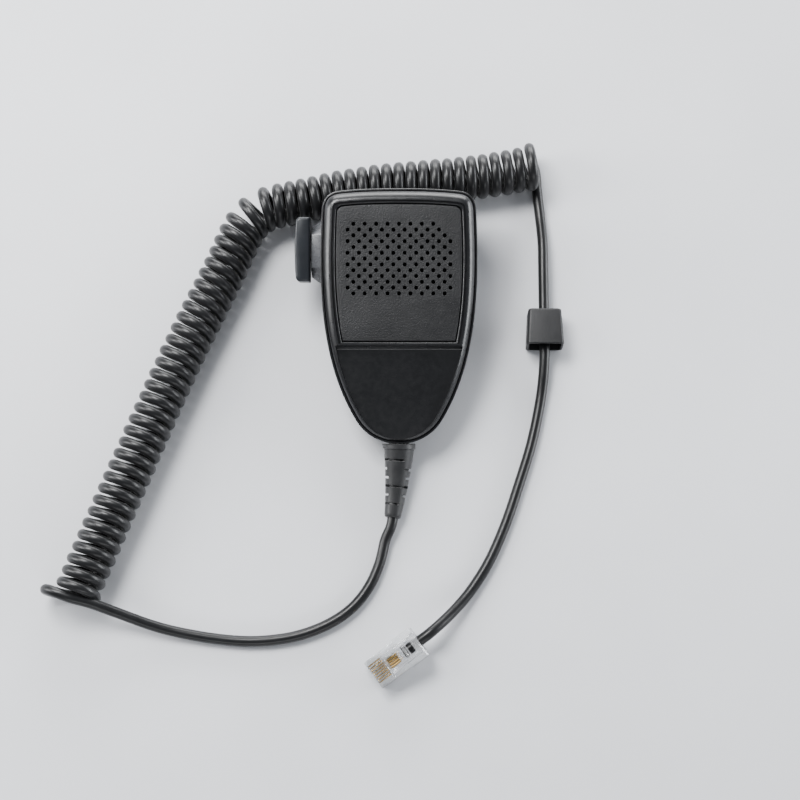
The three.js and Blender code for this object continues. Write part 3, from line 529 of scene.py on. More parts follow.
def relief_line():
    """The strain relief's middle line, in millimetres on the table."""
    inside = HANDSET @ Vector((0, -42.3, CORD_Z)) / MM
    outside = HANDSET @ Vector((0, -51, CORD_Z)) / MM
    return catmull([tuple(inside), tuple(outside), *RELIEF_ROUTE])


def heading_at(axis, run, along, s):
    """A point of the coil's axis and the direction there; past its ends it runs straight on."""
    inside = min(max(s, 0), along[-1])
    place = np.array([np.interp(inside, along, axis[:, k]) for k in range(3)])
    forward = np.array([np.interp(inside, along, run[:, k]) for k in range(3)])
    forward /= np.linalg.norm(forward)
    return place + forward * (s - inside), forward


def coil_line():
    """The curly part: turns that lean, open at the bend and loosen at both ends."""
    step = 0.2
    route = catmull([(x, y, COIL_Z) for x, y in COIL_ROUTE])
    axis = resample(softened(resample(route, step), 7.0, step), step)
    along = arc_lengths(axis)
    length = along[-1]
    run = np.gradient(axis, axis=0)
    run /= np.linalg.norm(run, axis=1)[:, None]
    heading = np.unwrap(np.arctan2(run[:, 1], run[:, 0]))
    bend = np.abs(np.gradient(heading, along))

    # on the inside of the bend the turns touch, so their spacing on the axis opens
    touching = 2 * CORD_R - 0.15
    pitch = np.maximum(PITCH, touching / np.maximum(0.3, 1 - TURN_R * bend))
    pitch = np.convolve(np.pad(pitch, 12, mode="edge"), np.ones(25) / 25, "valid")
    at = np.arange(-COIL_OVERRUN[0], length + COIL_OVERRUN[1], 0.05)
    rate = 2 * math.pi / np.interp(at, along, pitch)
    angle = np.concatenate([[0], np.cumsum((rate[1:] + rate[:-1]) / 2 * np.diff(at))])
    turns = round(angle[-1] / (2 * math.pi) - 0.25) + 0.25
    angle = math.pi + angle * (turns * 2 * math.pi / angle[-1])
    wanted = np.linspace(angle[0], angle[-1], int(turns * POINTS_PER_TURN) + 1)
    at = np.interp(wanted, angle, at)
    done = (wanted - wanted[0]) / (2 * math.pi)  # turns since the start
    left = (wanted[-1] - wanted) / (2 * math.pi)  # turns still to go

    # how far the turns lean from square to the axis, in degrees
    bend_at = along[np.argmax(bend)]
    places = [0, 85, bend_at - 14, bend_at, bend_at + 14, length]
    lean = np.radians(np.interp(at, places, [-9, -4, 7, -2, -4, -3]))

    # the first turn starts wide, and the last one swells before the tail
    early = np.clip(1 - done / 0.6, 0, 1)
    wide = TURN_R + 4.8 * early**2 * (3 - 2 * early)
    wide = wide + 1.5 * np.sin(math.pi * np.clip(left / 0.9, 0, 1)) ** 2
    tall = TURN_R + 0.9 * np.sin(math.pi * np.clip((left - 0.2) / 0.6, 0, 1)) ** 2

    # no two turns are quite the same width
    random.seed(7)
    waver = [random.uniform(-1, 1) for _ in range(int(turns) + 3)]
    waver = np.interp(done, np.arange(len(waver)), waver)
    wide = wide - 0.1 * waver * np.clip(np.minimum(done, left) / 2, 0, 1)

    across = wide * np.cos(wanted)
    up = tall * np.sin(wanted)
    settled = np.clip(np.minimum(done / 0.7, left / 0.7), 0, 1)
    along_axis = at - np.tan(lean) * across * settled
    along_axis = along_axis - 1.4 * np.clip(1 - done / 0.5, 0, 1) ** 2
    line = []
    for s, side, height in zip(along_axis, across, up):
        place, forward = heading_at(axis, run, along, s)
        right = np.array([forward[1], -forward[0], 0])
        line.append(place + right * side + np.array([0, 0, height]))
    return np.array(line)


def hairpin():
    """The loop by which the lead turns down and back under the coil's first turn."""
    radius, middle_z = 6.05, 8.15
    outer = np.array([-128.3, -103.1])
    lead_side, coil_side = np.array([0.941, -0.338]), np.array([0.983, -0.186])
    points = []
    for degrees in range(90, 271, 15):
        turn = math.radians(degrees)
        side = lead_side if degrees < 180 else coil_side
        plan = outer + radius * (1 + math.cos(turn)) * side
        points.append((*plan, middle_z + radius * math.sin(turn)))
    return points


def cord_line():
    """The whole cord's middle line: lead, coil and tail, eased where they join."""
    relief = relief_line()
    direction = relief[-1] - relief[-2]
    direction /= np.linalg.norm(direction)
    tip = relief[-1]
    coil = coil_line()
    skip = 7  # points of the coil that the hairpin stands in for
    exit_points = [tuple(tip - 3 * direction), tuple(tip + 3 * direction)]
    lead = catmull([*exit_points, *LEAD_ROUTE, *hairpin(), tuple(coil[skip])], 1.0)
    entry = [tuple(PLUG @ Vector((x, 0, PLUG_CORD_Z)) / MM) for x in (-5, 0, 7.5)]
    tail = catmull([tuple(coil[-2]), tuple(coil[-1]), *TAIL_ROUTE, *entry], 1.0)
    before_coil = float(arc_lengths(lead)[-1])
    line = np.concatenate([lead[:-1], coil[skip:-2], tail])
    after_coil = float(arc_lengths(line)[-1] - arc_lengths(tail)[-1])
    line = resample(line, 0.8)
    step = float(arc_lengths(line)[-1] / (len(line) - 1))
    eased = softened(line, 1.8, step)
    along = np.arange(len(line)) * step
    near_start = np.exp(-(((along - before_coil) / 16) ** 4))
    near_end = np.exp(-(((along - after_coil) / 14) ** 4))
    near = np.maximum(near_start, near_end)[:, None]
    return resample(line * (1 - near) + eased * near, 1.5)


CORD_LINE = cord_line()


def make_cord():
    """The cord as one open spline, standing for the three plain solids."""
    data = bpy.data.curves.new("curly_cord", "CURVE")
    data.dimensions = "3D"
    spline = data.splines.new("POLY")
    spline.points.add(len(CORD_LINE) - 1)
    for point, place in zip(spline.points, CORD_LINE):
        point.co = (*(place * MM), 1)
    spline.use_smooth = True
    data.bevel_depth = CORD_R * MM
    data.bevel_resolution = 6
    data.use_fill_caps = True
    data.materials.append(cord_black)
    cord = link("curly_cord", data)
    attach(cord, "handset")
    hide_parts("cord_lead", "cord_coil", "cord_tail")
    return cord


curly_cord = make_cord()


# ---- floor and light
def make_floor():
    material, tree, bsdf, at = shader("floor", (0.62, 0.63, 0.65), 0.55)
    cloud = tint(tree, noise(tree, at, 9, 4), (0.6, 0.61, 0.63), (0.64, 0.65, 0.67))
    feed(tree, bsdf, Base_Color=cloud)
    half = 3000
    corners = [(-half, -half, 0), (half, -half, 0), (half, half, 0), (-half, half, 0)]
    mesh = bpy.data.meshes.new("floor")
    mesh.from_pydata([TABLE @ Vector(p) for p in corners], [], [(0, 1, 2, 3)])
    mesh.materials.append(material)
    link("floor", mesh)


def softbox(name, place, aimed, size, power, colour=(1, 1, 1)):
    """A rectangular area light; place, aim and size in metres, power in watts."""
    data = bpy.data.lights.new(name, "AREA")
    data.shape = "RECTANGLE"
    data.size, data.size_y = size
    data.energy = power
    data.color = colour
    light = bpy.data.objects.new(name, data)
    light.location = place
    light.rotation_euler = (Vector(aimed) - Vector(place)).to_track_quat("-Z", "Y").to_euler()
    bpy.context.scene.collection.objects.link(light)


def make_world():
    world = bpy.data.worlds.new("studio")
    world.use_nodes = True
    background = world.node_tree.nodes["Background"]
    background.inputs["Color"].default_value = (0.9, 0.93, 1.0, 1)
    background.inputs["Strength"].default_value = 0.28
    bpy.context.scene.world = world


make_floor()
make_world()
softbox("key", (-0.38, 0.42, 0.9), (0, 0.0, 0.02), (0.6, 0.4), 13)
softbox("back", (0.05, 1.1, 0.3), (0, 0, 0.02), (1.2, 0.5), 16)
softbox("left", (-0.95, 0.1, 0.42), (-0.03, 0, 0.02), (0.4, 0.7), 8)
softbox("right", (0.95, 0.15, 0.25), (0.02, 0, 0.02), (0.9, 0.4), 10, (0.96, 0.98, 1.0))
softbox("low", (0.1, -0.9, 0.45), (0, -0.08, 0.0), (0.9, 0.25), 2.5)
bpy.context.scene.view_settings.look = "AgX - Medium High Contrast"


# ---- outline of the case
# Cubic curves from the middle of the top to the middle of the bottom.
RIGHT_HALF = [
    ((0, 49.4), (8, 49.4), (16.2, 49.2), (22.8, 48.4)),
    ((22.8, 48.4), (27.3, 47.9), (29.4, 45.2), (29.5, 40.6)),
    ((29.5, 40.6), (30.8, 12.4), (30.2, -16), (16.6, -38.7)),
    ((16.6, -38.7), (13.1, -44.6), (6.9, -48), (0, -48)),
]


def base_outline():
    """The case's outline, anticlockwise, with an outward normal at every point."""
    steps = 24
    right = []
    for p0, p1, p2, p3 in (np.array(curve, float) for curve in RIGHT_HALF):
        for i in range(steps):
            t = i / steps
            u = 1 - t
            right.append(u**3 * p0 + 3 * u**2 * t * p1 + 3 * u * t * t * p2 + t**3 * p3)
    right.append(np.array([0, -48.0]))
    left = [point * (-1, 1) for point in right[-2:0:-1]]
    points = np.array([*right, *left])[::-1]
    run = np.roll(points, -1, axis=0) - np.roll(points, 1, axis=0)
    run /= np.linalg.norm(run, axis=1)[:, None]
    return points, np.stack([run[:, 1], -run[:, 0]], axis=1)


EDGE, NORMALS = base_outline()


def outline_rings(levels, low=None, corner=0.0, centre=(0, 3)):
    """Insets of the outline at heights given as (inset, z) or (inset, z, more at the top, more at
    the bottom). Each ring is cut straight across at y = low plus the ring's growth, its top
    corners are rounded by corner, and its points stay on the same rays from the centre."""
    centre = np.array(centre, float)
    rays = EDGE - centre
    rays /= np.linalg.norm(rays, axis=1)[:, None]
    first = levels[0][0]
    snaps = None
    rings = []
    for inset, z, *more in levels:
        top, bottom = (*more, 0, 0)[:2]
        normals = NORMALS
        reach = np.sum(EDGE * normals, axis=1) - inset
        reach = reach - top * np.maximum(0, normals[:, 1]) ** 2
        reach = reach - bottom * np.maximum(0, -normals[:, 1]) ** 2
        if corner:
            core = reach - corner
            t = crossing(normals, core, centre, rays)
            points = centre + rays * t[:, None]
            reach = np.max(points @ normals.T, axis=0) + corner
        cut = None
        if low is not None:
            cut = low + inset - first
            normals = np.concatenate([normals, [[0, -1]]])
            reach = np.concatenate([reach, [-cut]])
        t = crossing(normals, reach, centre, rays)
        ring = centre + rays * t[:, None]
        if cut is not None:
            side = normals[:, 0] > 0.2
            half = np.min((reach[side] - normals[side, 1] * cut) / normals[side, 0])
            if snaps is None:
                at = [np.array([s * half, cut]) - centre for s in (-1, 1)]
                snaps = [int(np.argmax(rays @ (a / np.linalg.norm(a)))) for a in at]
            ring[snaps[0]] = (-half, cut)
            ring[snaps[1]] = (half, cut)
        rings.append([(x, y, z) for x, y in ring])
    return rings


def crossing(normals, reach, centre, rays):
    """How far along each ray the first of the edges is."""
    facing = rays @ normals.T
    room = reach - normals @ centre
    with np.errstate(divide="ignore", invalid="ignore"):
        t = np.where(facing > 1e-6, room / facing, np.inf)
    return t.min(axis=1)


def heel_depth(y):
    """How deep the case is below its rim plane where the heel rests on the table."""
    return END_DEPTH + (y + HALF_LENGTH) * math.tan(TILT)


BREAK_DEPTH = heel_depth(BACK_BREAK_Y)


def back_z(y, wall=0.0):
    """The height of the back surface, its break a little rounded."""
    heel = wall - heel_depth(y)
    upper = wall - BREAK_DEPTH - (y - BACK_BREAK_Y) * math.tan(BACK_SLOPE)
    return blended_max(heel, upper, 0.25)


def blended_max(a, b, reach):
    """The larger of two heights, rounded over where they are within reach of each other."""
    gap = max(reach - abs(a - b), 0) / reach
    return max(a, b) + gap * gap * reach / 4


def case_body(name, levels, wall, soft):
    """A body between a rim and the back: rings that stop at the back, closed over it."""
    rings = []
    deep = outline_rings([levels[0]])[0]
    centre_y = 3
    for share in (0.12, 0.3, 0.5, 0.7, 0.86, 0.95):
        plan = [(x * share, centre_y + (y - centre_y) * share) for x, y, z in deep]
        rings.append([(x, y, back_z(y, wall)) for x, y in plan])
    for ring in outline_rings(levels):
        rings.append([(x, y, blended_max(z, back_z(y, wall), soft)) for x, y, z in ring])
    return closed_loft(name, rings)


# ---- front of the case
def cutter(name, levels, **shape):
    """A solid that follows the case's outline through the levels."""
    return closed_loft(name, outline_rings(levels, **shape))


def extruded(name, profile, x):
    """A prism along x from (y, z) pairs."""
    rings = [[(at, y, z) for y, z in profile] for at in x]
    return closed_loft(name, rings)


def front_shell():
    """The front of the case: a rolled rim, a groove, the panel's seat and the lower field."""
    bevel = []
    for i in range(11):
        angle = math.pi / 2 * i / 10
        across, rise = (1 - math.cos(angle)) ** 0.8, math.sin(angle) ** 1.15
        bevel.append((1.1 + 3.1 * across, -2.9 + 2.9 * rise, 0.5 * across))
    shell = cutter("front_case", [(1.1, REBATE_Z + 0.3), (1.1, -4.5), *bevel])
    hollow = cutter("hollow", [(2.9, -7.3), (2.9, SKIN_Z)])
    levels = [(4.5, -0.42), (4.45, -0.3), (4.2, 0.1), (4.1, 0.3)]
    groove = cutter("groove", [(*level, 0.5) for level in levels])
    levels = [(4.62, -1), (4.62, -0.36), (4.95, -0.02), (5.2, 0.4)]
    tongue = cutter("tongue", [(*level, 0.5) for level in levels])
    below = block("below", (-40, 40), (-60, -9.9), (-2, 2))
    combine(groove, [tongue, below])
    seat_levels = [(0.3, -1.9), (0.3, -0.5), (0.36, -0.28), (0.52, -0.1), (0.74, 0.0), (0.8, 0.6)]
    seat_levels = [(PANEL_INSET - growth, z, 0.4) for growth, z in seat_levels]
    seat = cutter("seat", seat_levels, low=PANEL_BOTTOM_Y - 0.3, **PANEL_SHAPE)
    window = block("window", (-20.5, 20.5), (7.6, 36.6), (SKIN_Z - 1, 1))
    levels = [(3.1, -FIELD_DEPTH), (2.95, -1.45), (2.7, 0.6)]
    field = cutter("field", [(*level, 0, -1.2) for level in levels])
    step = [(-10.3, 1), (-10.35, 0.05), (-10.55, -0.08), (-10.8, -0.4), (-11.75, -1.5)]
    step += [(-12.1, -1.66), (-12.6, -1.8), (-60, -1.8), (-60, 1)]
    combine(field, [extruded("step", step, (-40, 40))], "INTERSECT")
    combine(shell, [hollow, groove, seat, window, field])
    root = SKIN_Z + 0.2
    bosses, pilots = [], []
    for side in (-1, 1):
        for x, y, post, _ in (UPPER_SCREW, LOWER_SCREW):
            tip, shoulder = post + 0.3, post + 3.3
            rings = [(0, tip), (2.5, tip), (2.5, shoulder), (3.4, shoulder), (3.4, root), (0, root)]
            place = HANDSET @ Matrix.Translation((side * x, y, 0))
            bosses.append(lathe("boss", rings, 24, place))
            pilots.append(rod("pilot", (side * x, y), (post - 0.7, SKIN_Z - 0.8), 1.5, 16))
        bosses.append(rod("pin", (side * 10, -23), (-14.0, root), 1.8, 20))
    combine(shell, bosses, "UNION")
    combine(shell, [*pilots, relief_hole()])
    tidy(shell)
    paint(shell, case_black, field_black)
    inverse = HANDSET.inverted()
    for face in shell.data.polygons:
        middle = inverse @ face.center
        if middle.y < -12.3 and abs(middle.z + FIELD_DEPTH) < 0.05:
            face.material_index = 1
    return finish_piece(shell, "front_shell", angle=28)


def relief_hole():
    """A cutter for the hole that the strain relief fills."""
    turn = HANDSET @ Matrix.Translation((0, -52, CORD_Z)) @ Matrix.Rotation(math.pi / 2, 4, "X")
    return rod("relief_hole", (0, 0), (-8, 8), 4.2, 48, turn)


# ---- grille
HOLE_ROWS = 13
HOLE_TOP_Y = 35.5
ROW_PITCH = 2.2
HOLE_PITCH = 4.33


def grille():
    """The panel, with rows of 9 and 10 holes in turn, the top two rows one hole shorter."""
    top = PANEL_TOP_Z
    edge = [(0.0, PANEL_THICKNESS), (0.0, 0.55), (0.05, 0.32), (0.16, 0.14), (0.32, 0.03), (0.5, 0)]
    levels = [(PANEL_INSET + inset, top - depth, 0.4) for inset, depth in edge]
    panel = cutter("grille", levels, low=PANEL_BOTTOM_Y, **PANEL_SHAPE)
    profile = [(0, -3), (0.7, -3), (0.7, top - 0.28), (0.76, top - 0.12), (0.92, top + 0.02)]
    profile += [(0.95, 0.6), (0, 0.6)]
    holes = []
    for row in range(HOLE_ROWS):
        full = 9 if row % 2 == 0 else 10
        for i in range(full - 1 if row < 2 else full):
            x, y = (i - (full - 1) / 2) * HOLE_PITCH, HOLE_TOP_Y - row * ROW_PITCH
            place = HANDSET @ Matrix.Translation((x, y, 0))
            holes.append(lathe("hole", profile, 16, place))
    combine(panel, [merged(holes)])
    tidy(panel)
    paint(panel, panel_black)
    return finish_piece(panel, "grille_panel", angle=30)


# ---- rear of the case
def hang_up_matrix():
    """The hang-up button's own frame: z out of the back, its origin on the back."""
    depth = BREAK_DEPTH + (BUTTON_Y - BACK_BREAK_Y) * math.tan(BACK_SLOPE)
    place = Matrix.Translation((0, BUTTON_Y, -depth))
    return HANDSET @ place @ Matrix.Rotation(math.pi - BACK_SLOPE, 4, "X")


HANG_UP = hang_up_matrix()


def rear_shell():
    """The back of the case: a crowned shell with screw posts, its holes and the bar's slot."""
    shape = [(0.0617 * depth**1.92, -14 - depth) for depth in np.arange(16.5, -0.1, -0.5)]
    rim = [(0, -3.7), (0.06, -3.4), (0.2, -3.26), (0.4, RIM_Z)]
    shell = case_body("rear_case", [*shape, *rim], 0.0, 2.2)
    inner = [(12.4, -32), (12.4, -27), (7.2, -22.8), (WALL, -16.1), (WALL, RIM_Z + 1)]
    hollow = case_body("hollow", inner, WALL, 0.05)
    posts, bores = [], []
    for side in (-1, 1):
        for x, y, post, seat in (UPPER_SCREW, LOWER_SCREW):
            posts.append(rod("post", (side * x, y), (-38, post), 4.2, 28))
            bores.append(rod("well", (side * x, y), (-40, seat), 2.95, 32))
            bores.append(rod("bore", (side * x, y), (-40, post + 1), 1.6, 20))
        posts.append(rod("post", (side * 10, -23), (-38, -16.2), 1.8, 20))
        posts.append(rod("post", (side * 6.8, CLAMP_Y), (-38, CORD_Z - 2.35), 2.2, 24))
        bores.append(rod("bore", (side * 6.8, CLAMP_Y), (-15, 0), 1.2, 16))
    combine(hollow, posts)
    rebate = cutter("rebate", [(0.8, REBATE_Z), (0.8, RIM_Z + 1)])
    slot_y, slot_z = (PTT_Y - 13.7, PTT_Y + 13.7), (PTT_Z - 4.3, PTT_Z + 4.3)
    slot = block("slot", (-40, -20), slot_y, slot_z)
    hole = rod("hole", (0, 0), (-WALL - 3, 3), 1.7, 24, HANG_UP)
    combine(shell, [hollow, rebate, slot, hole, relief_hole(), *bores])
    tidy(shell)
    paint(shell, case_black)
    return finish_piece(shell, "rear_shell", angle=28)


# ---- parts taken over with finer edges
def refined(node, name, material, body, slot, width, segments):
    """The node's own shape with its edges rounded."""
    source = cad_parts[node]
    mesh = source.data.copy()
    mesh.transform(source.matrix_world)
    piece = link(name, mesh)
    work = bmesh.new()
    work.from_mesh(mesh)
    bmesh.ops.remove_doubles(work, verts=work.verts, dist=0.004 * MM)
    flat = math.radians(1)
    bmesh.ops.dissolve_limit(work, angle_limit=flat, verts=work.verts, edges=work.edges)
    work.to_mesh(mesh)
    work.free()
    round_edges(piece, width, segments)
    paint(piece, material)
    return finish_piece(piece, node, body, angle=40)


# ---- push-to-talk bar
def bar_profile(grow):
    """The bar seen from the front: straight inside, slightly bowed outside, its ends rounded."""
    outer, inner, half = -39.9 - grow, -34.0 + grow, 12.3 + grow
    small, large, bow = 0.5, 1.7, 0.4
    upper = []
    for i in range(7):
        angle = math.pi / 2 * i / 6
        x, y = inner - small + small * math.cos(angle), half - small + small * math.sin(angle)
        upper.append((x, y))
    for i in range(9):
        angle = math.pi / 2 * (1 + i / 8)
        x, y = outer + bow + large + large * math.cos(angle), half - large + large * math.sin(angle)
        upper.append((x, y))
    for share in (0.8, 0.6, 0.4, 0.2):
        upper.append((outer + bow * share * share, share * (half - large)))
    lower = [(x, -y) for x, y in reversed(upper)]
    return [(x, PTT_Y + BAR_RISE + y) for x, y in [*upper, (outer, 0), *lower]]


def ptt_bar():
    """The talk bar, its profile rounded over at the top and the bottom."""
    half_height = 5.5
    edge = [(-0.9, 0.0), (-0.55, 0.12), (-0.25, 0.3), (-0.07, 0.58), (0.0, 0.95)]
    levels = [(grow, rise - half_height) for grow, rise in edge]
    levels += [(grow, half_height - rise) for grow, rise in reversed(edge)]
    rings = [[(x, y, PTT_Z + z) for x, y in bar_profile(grow)] for grow, z in levels]
    bar = closed_loft("talk_bar", rings)
    paint(bar, bar_grey)
    return finish_piece(bar, "ptt_bar", "ptt", angle=40)


def ptt_neck():
    """A neck with sloping ends, its flange inside the case and a nib that works the switch."""

    def ring(x, back, front, half_z):
        corners = ((-back, -half_z), (back, -half_z), (front, half_z), (-front, half_z))
        return [(x, PTT_Y + y, PTT_Z + z) for y, z in corners]

    rings = [ring(-33.7, 9.8, 6.4, 3.5), ring(-29.4, 12.9, 6.6, 3.9)]
    rings += [ring(-28.9, 13.4, 13.4, 4), ring(-26.3, 13.4, 13.4, 4)]
    stem = closed_loft("talk_neck", rings)
    round_edges(stem, 0.35, 3, 20)
    flange_y, flange_z = (PTT_Y - 14.4, PTT_Y + 14.4), (PTT_Z - 4.7, PTT_Z + 4.7)
    flange = block("flange", (-26.5, -25.1), flange_y, flange_z)
    round_edges(flange, 0.2, 2)
    nib = block("nib", (-25.5, -19.76), (20.3, 22.7), (-12.4, -9.6))
    round_edges(nib, 0.25, 2)
    combine(stem, [flange, nib], "UNION")
    paint(stem, neck_grey)
    return finish_piece(stem, "ptt_neck", "ptt")


def tube(name, path, radius, sides):
    """A round bar along a path of points."""
    path = [Vector(p) for p in path]
    turn = [2 * math.pi * k / sides for k in range(sides)]
    rings = []
    across = None
    for i, place in enumerate(path):
        forward = (path[min(i + 1, len(path) - 1)] - path[max(i - 1, 0)]).normalized()
        across = across or forward.orthogonal()
        across = (across - forward * across.dot(forward)).normalized()
        other = forward.cross(across)
        spokes = [across * math.cos(a) + other * math.sin(a) for a in turn]
        rings.append([tuple(place + radius * spoke) for spoke in spokes])
    return closed_loft(name, rings)


def return_springs():
    """Two springs with closed end turns."""
    start, end, turns, travel = -24.8, -19.7, 6, 2.0
    coil_radius, wire_radius, steps = 1.95, 0.23, 20
    for number in (1, 2):
        low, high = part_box(f"ptt_spring_{number}")
        y = (HANDSET.inverted() @ ((low + high) / 2)).y
        path = []
        for i in range(turns * steps + 1):
            share = i / (turns * steps)
            eased = share - math.sin(2 * math.pi * share) / (2 * math.pi) * 0.7
            x = start + 0.25 + (end - start - 0.5) * eased
            angle = 2 * math.pi * turns * share
            side, rise = coil_radius * math.cos(angle), coil_radius * math.sin(angle)
            path.append((x, y + side, PTT_Z + 0.4 + rise))
        spring = tube(f"return_spring_{number}", path, wire_radius, 10)
        paint(spring, steel)
        finish_piece(spring, f"ptt_spring_{number}", angle=60)
        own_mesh(spring)


# ---- turned parts
def crossed(piece, radius, depth_from, depth_to, matrix):
    """Cuts a cross recess with sloping arms."""
    arms = []
    for turn in (0, math.pi / 2):
        at = matrix @ Matrix.Rotation(turn, 4, "Z")
        arm = []
        for z, half in ((depth_to, radius * 0.45), (depth_from, radius)):
            arm.append([(-half, -0.28, z), (half, -0.28, z), (half, 0.28, z), (-half, 0.28, z)])
        arms.append(closed_loft("arm", arm, at))
    combine(piece, arms)


def pan_screw(name, node, head, height, shank, length, matrix):
    """A pan head with a cross recess, its seat at z = 0 and its shank towards +z."""
    profile = [(0, -height)]
    for i in range(7):
        angle = math.pi / 2 * i / 6
        radius = head * (0.55 + 0.45 * math.sin(angle))
        profile.append((radius, -height * (0.25 + 0.75 * math.cos(angle))))
    profile += [(head, -0.1), (head - 0.08, 0), (shank, 0)]
    turns = int((length - 1.2) / 0.9)
    for i in range(turns):
        z = 0.4 + i * 0.9
        profile += [(shank * 0.82, z), (shank, z + 0.4), (shank, z + 0.5)]
    profile += [(shank * 0.8, length - 0.5), (shank * 0.45, length), (0, length)]
    screw = lathe(name, profile, 40, matrix)
    crossed(screw, head * 0.55, -height - 0.4, -height * 0.42, matrix)
    paint(screw, steel)
    return finish_piece(screw, node, angle=32)


def hang_up_button():
    """The turned button that a clip takes, its flat face on the table, and its screw."""
    neck, head = 4.2, 6.5
    top = ((BUTTON_Y - BACK_BREAK_Y) / math.cos(BACK_SLOPE) - head) * math.tan(TILT - BACK_SLOPE)
    profile = [(1.7, 0.3), (neck, 0.3), (neck, top - 2.3), (neck + 0.12, top - 2.1)]
    profile += [(neck + 0.4, top - 2), (head - 0.3, top - 2), (head - 0.08, top - 1.9)]
    profile += [(head, top - 1.7), (head, top - 0.35), (head - 0.1, top - 0.1), (head - 0.35, top)]
    profile += [(3.25, top), (3.05, top - 0.06), (3, top - 0.25), (3, top - 1.7), (1.7, top - 1.7)]
    button = lathe("hang_up_stud", profile, 96, HANG_UP)
    paint(button, button_metal)
    finish_piece(button, "hang_up_button", angle=35)
    seat = HANG_UP @ Matrix.Translation((0, 0, top - 1.4)) @ Matrix.Rotation(math.pi, 4, "X")
    pan_screw("stud_screw", "hang_up_screw", 2.6, 1.2, 1.3, 8.3, seat)


def case_screws():
    """Four pan-head screws in the wells of the back."""
    screws = [(side * x, *rest) for x, *rest in (UPPER_SCREW, LOWER_SCREW) for side in (-1, 1)]
    for number, (x, y, post, seat) in enumerate(screws, 1):
        place = HANDSET @ Matrix.Translation((x, y, seat - 0.3))
        name, node = f"cover_screw_{number}", f"case_screw_{number}"
        pan_screw(name, node, 2.6, 1.8, 1.15, post + 0.3 - seat + 6, place)


# ---- strain relief
# Slits across the relief: distance along it, direction of the pair's middle in degrees from the
# right, and half the angle each slit takes up.
RELIEF_SLITS = [
    (12.0, 122, 58), (15.5, 14, 44), (18.9, 0, 44), (22.2, 90, 84), (25.6, 0, 46),
    (29.1, 118, 56),
]


def strain_relief():
    """A tapered sleeve around its middle line, with a groove for the case's wall and slits."""
    path = resample(relief_line(), 0.2)
    along = arc_lengths(path)
    length = along[-1]
    start, end, cone_from = 5.8, 3.15, 7.75
    cone = (start - end) / (length - cone_from)
    # distance along the line and radius; 0 is the cone's own radius there
    stations = [(0, 4.3), (0.2, 4.5), (1.4, 4.5), (1.6, 4.3), (1.61, 3.9), (5.7, 3.9)]
    stations += [(5.71, 6.05), (5.95, 6.3), (7.5, 6.3), (cone_from, 6.05), (7.76, start)]
    for at, _, _ in RELIEF_SLITS:
        before = stations[-1][0]
        gap = at - 0.45 - before
        stations += [(before + gap * k / 3, 0) for k in (1, 2)]
        stations += [(at + offset, 0) for offset in (-0.47, -0.4, 0.4, 0.47)]
    last = stations[-1][0]
    stations += [(last + (length - 0.5 - last) * k / 5, 0) for k in range(1, 6)]
    stations += [(length - 0.2, end - 0.08), (length, end - 0.35), (length, 2.35)]
    stations += [(length - 0.25, 2.15), (length - 3.3, 2.15)]

    def at_distance(distance):
        inside = min(max(distance, 0), length)
        return Vector([np.interp(inside, along, path[:, k]) for k in range(3)])

    sides = 64
    rings = []
    for at, radius in stations:
        place = at_distance(at)
        forward = (at_distance(at + 0.3) - at_distance(at - 0.3)).normalized()
        right = Vector((0, 0, 1)).cross(forward).normalized()
        up = forward.cross(right)
        up = up if up.z > 0 else -up
        slits = [(middle, half) for cut, middle, half in RELIEF_SLITS if abs(at - cut) < 0.42]
        ring = []
        for i in range(sides):
            angle = 360 * i / sides
            size = radius or start - cone * (at - cone_from)
            for middle, half in slits:
                # half a turn repeats the slit on the opposite side
                if abs((angle - middle + 90) % 180 - 90) < half:
                    size = max(2.75, size - 1.35)
            radians = math.radians(angle)
            spoke = right * math.cos(radians) + up * math.sin(radians)
            ring.append(tuple(place + spoke * size))
        rings.append(ring)
    relief = closed_loft("bend_relief", rings, TABLE)
    paint(relief, relief_black)
    return finish_piece(relief, "strain_relief", angle=33)


# ---- boot on the cord
BOOT = {"x": 61.5, "mouth": -8.3, "rear": 6.2, "cord_z": 4.9}


def rounded_box_ring(y, half, z0, z1, radius):
    """A rounded rectangle across the cord at y, from z0 to z1."""
    steps = 6
    points = []
    corners = [(half - radius, z0 + radius, -90), (half - radius, z1 - radius, 0)]
    corners += [(radius - half, z1 - radius, 90), (radius - half, z0 + radius, 180)]
    for x, z, start in corners:
        for i in range(steps + 1):
            angle = math.radians(start + 90 * i / steps)
            across = BOOT["x"] + x + radius * math.cos(angle)
            points.append((across, y, z + radius * math.sin(angle)))
    return points


def boot_ring(y, shrink):
    """A ring of the boot's outside, which widens towards its mouth."""
    share = (BOOT["rear"] - y) / (BOOT["rear"] - BOOT["mouth"])
    half = 6.4 + 0.8 * share
    top = 10.6 + 1.4 * share
    return rounded_box_ring(y, half - shrink, 0.05 + shrink, top - shrink, 1.3)


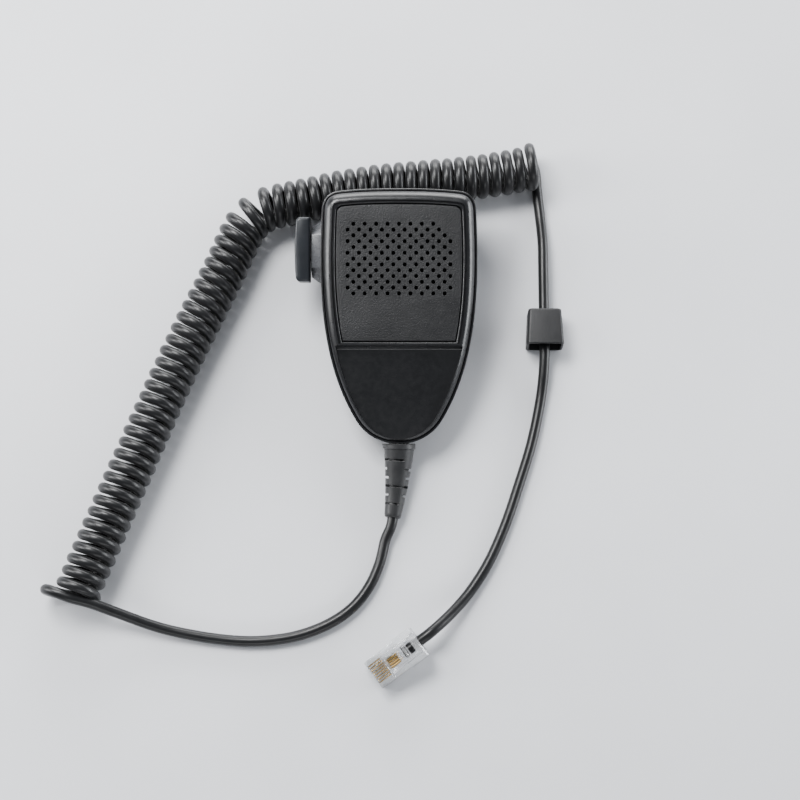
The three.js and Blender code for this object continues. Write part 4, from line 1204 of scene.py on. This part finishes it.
def sliding_boot():
    """A tapered hollow block with soft edges; its mouth faces the plug."""
    rear, mouth = BOOT["rear"], BOOT["mouth"]
    levels = [(rear, 0.8), (rear - 0.1, 0.45), (rear - 0.3, 0.18), (rear - 0.6, 0.04)]
    levels += [(rear - 1, 0)]
    levels += [(mouth + 0.6, 0), (mouth + 0.25, 0.03), (mouth + 0.1, 0.1), (mouth, 0.25)]
    boot = closed_loft("cord_boot", [boot_ring(y, shrink) for y, shrink in levels], TABLE)
    cavity = [
        rounded_box_ring(rear - 1.8, 5.3, 1.1, 9.4, 0.9),
        rounded_box_ring(mouth + 0.35, 6.16, 1.1, 10.9, 0.9),
        rounded_box_ring(mouth - 1, 6.5, 0.8, 11.3, 0.9),
    ]
    hollow = closed_loft("cavity", cavity, TABLE)
    place = Matrix.Translation((BOOT["x"], rear, BOOT["cord_z"]))
    turn = TABLE @ place @ Matrix.Rotation(math.pi / 2, 4, "X")
    bore = [(0, -2), (3.0, -2), (3.0, -0.1), (2.5, 0.35), (2.5, 4), (0, 4)]
    combine(boot, [hollow, lathe("hole", bore, 40, turn)])
    paint(boot, boot_black)
    return finish_piece(boot, "plug_boot", "boot")


# ---- building
front_shell()
grille()
rear_shell()
ptt_bar()
ptt_neck()
return_springs()
hang_up_button()
case_screws()
relief_piece = strain_relief()
boot_piece = sliding_boot()
plug_piece = refined("plug_body", "plug_housing", plug_clear, "handset", "plug_clear", 0.32, 3)
latch_piece = refined("plug_latch", "plug_tab", plug_clear, "latch", "plug_clear", 0.12, 2)
clamp_piece = refined("plug_clamp_bar", "plug_wedge", plug_clear, "handset", "plug_clear", 0.12, 2)
contacts = []
for i in range(1, 9):
    names = f"plug_contact_{i}", f"blade_{i}"
    contacts.append(refined(*names, gold, "handset", "contact_gold", 0.05, 2))

LOOKS = [
    (steel, "cord_clamp", "clamp_screw_1", "clamp_screw_2", "spring_plate", "switch_lever"),
    (cloth, "dust_screen"),
    (board_green, "circuit_board"),
    (can_metal, "mic_capsule"),
    (soft_black, "capsule_boot"),
    (wire_black, "capsule_lead_2", "hang_up_wire"),
    (chip_black, "preamp_chip"),
    (sleeve_blue, "capacitor"),
    (nylon, "wire_header"),
    (cord_black, "cord_stub"),
    (brass, "hang_up_plate"),
    (switch_black, "switch_body"),
    (switch_red, "switch_button"),
    (WIRES[0], "capsule_lead_1", "cord_wire_1"),
    (WIRES[1], "cord_wire_2"),
    (WIRES[2], "cord_wire_3"),
    (WIRES[3], "cord_wire_4"),
    (wire_ochre, *PLUG_WIRES),
]
for look, *nodes in LOOKS:
    for node in nodes:
        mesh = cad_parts[node].data
        mesh.materials.clear()
        mesh.materials.append(look)
        smooth(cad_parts[node], 30)

# ---- declarations
with_pieces = [relief_piece, boot_piece, plug_piece, latch_piece, clamp_piece, *contacts]
with_pieces += [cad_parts[name] for name in PLUG_WIRES]
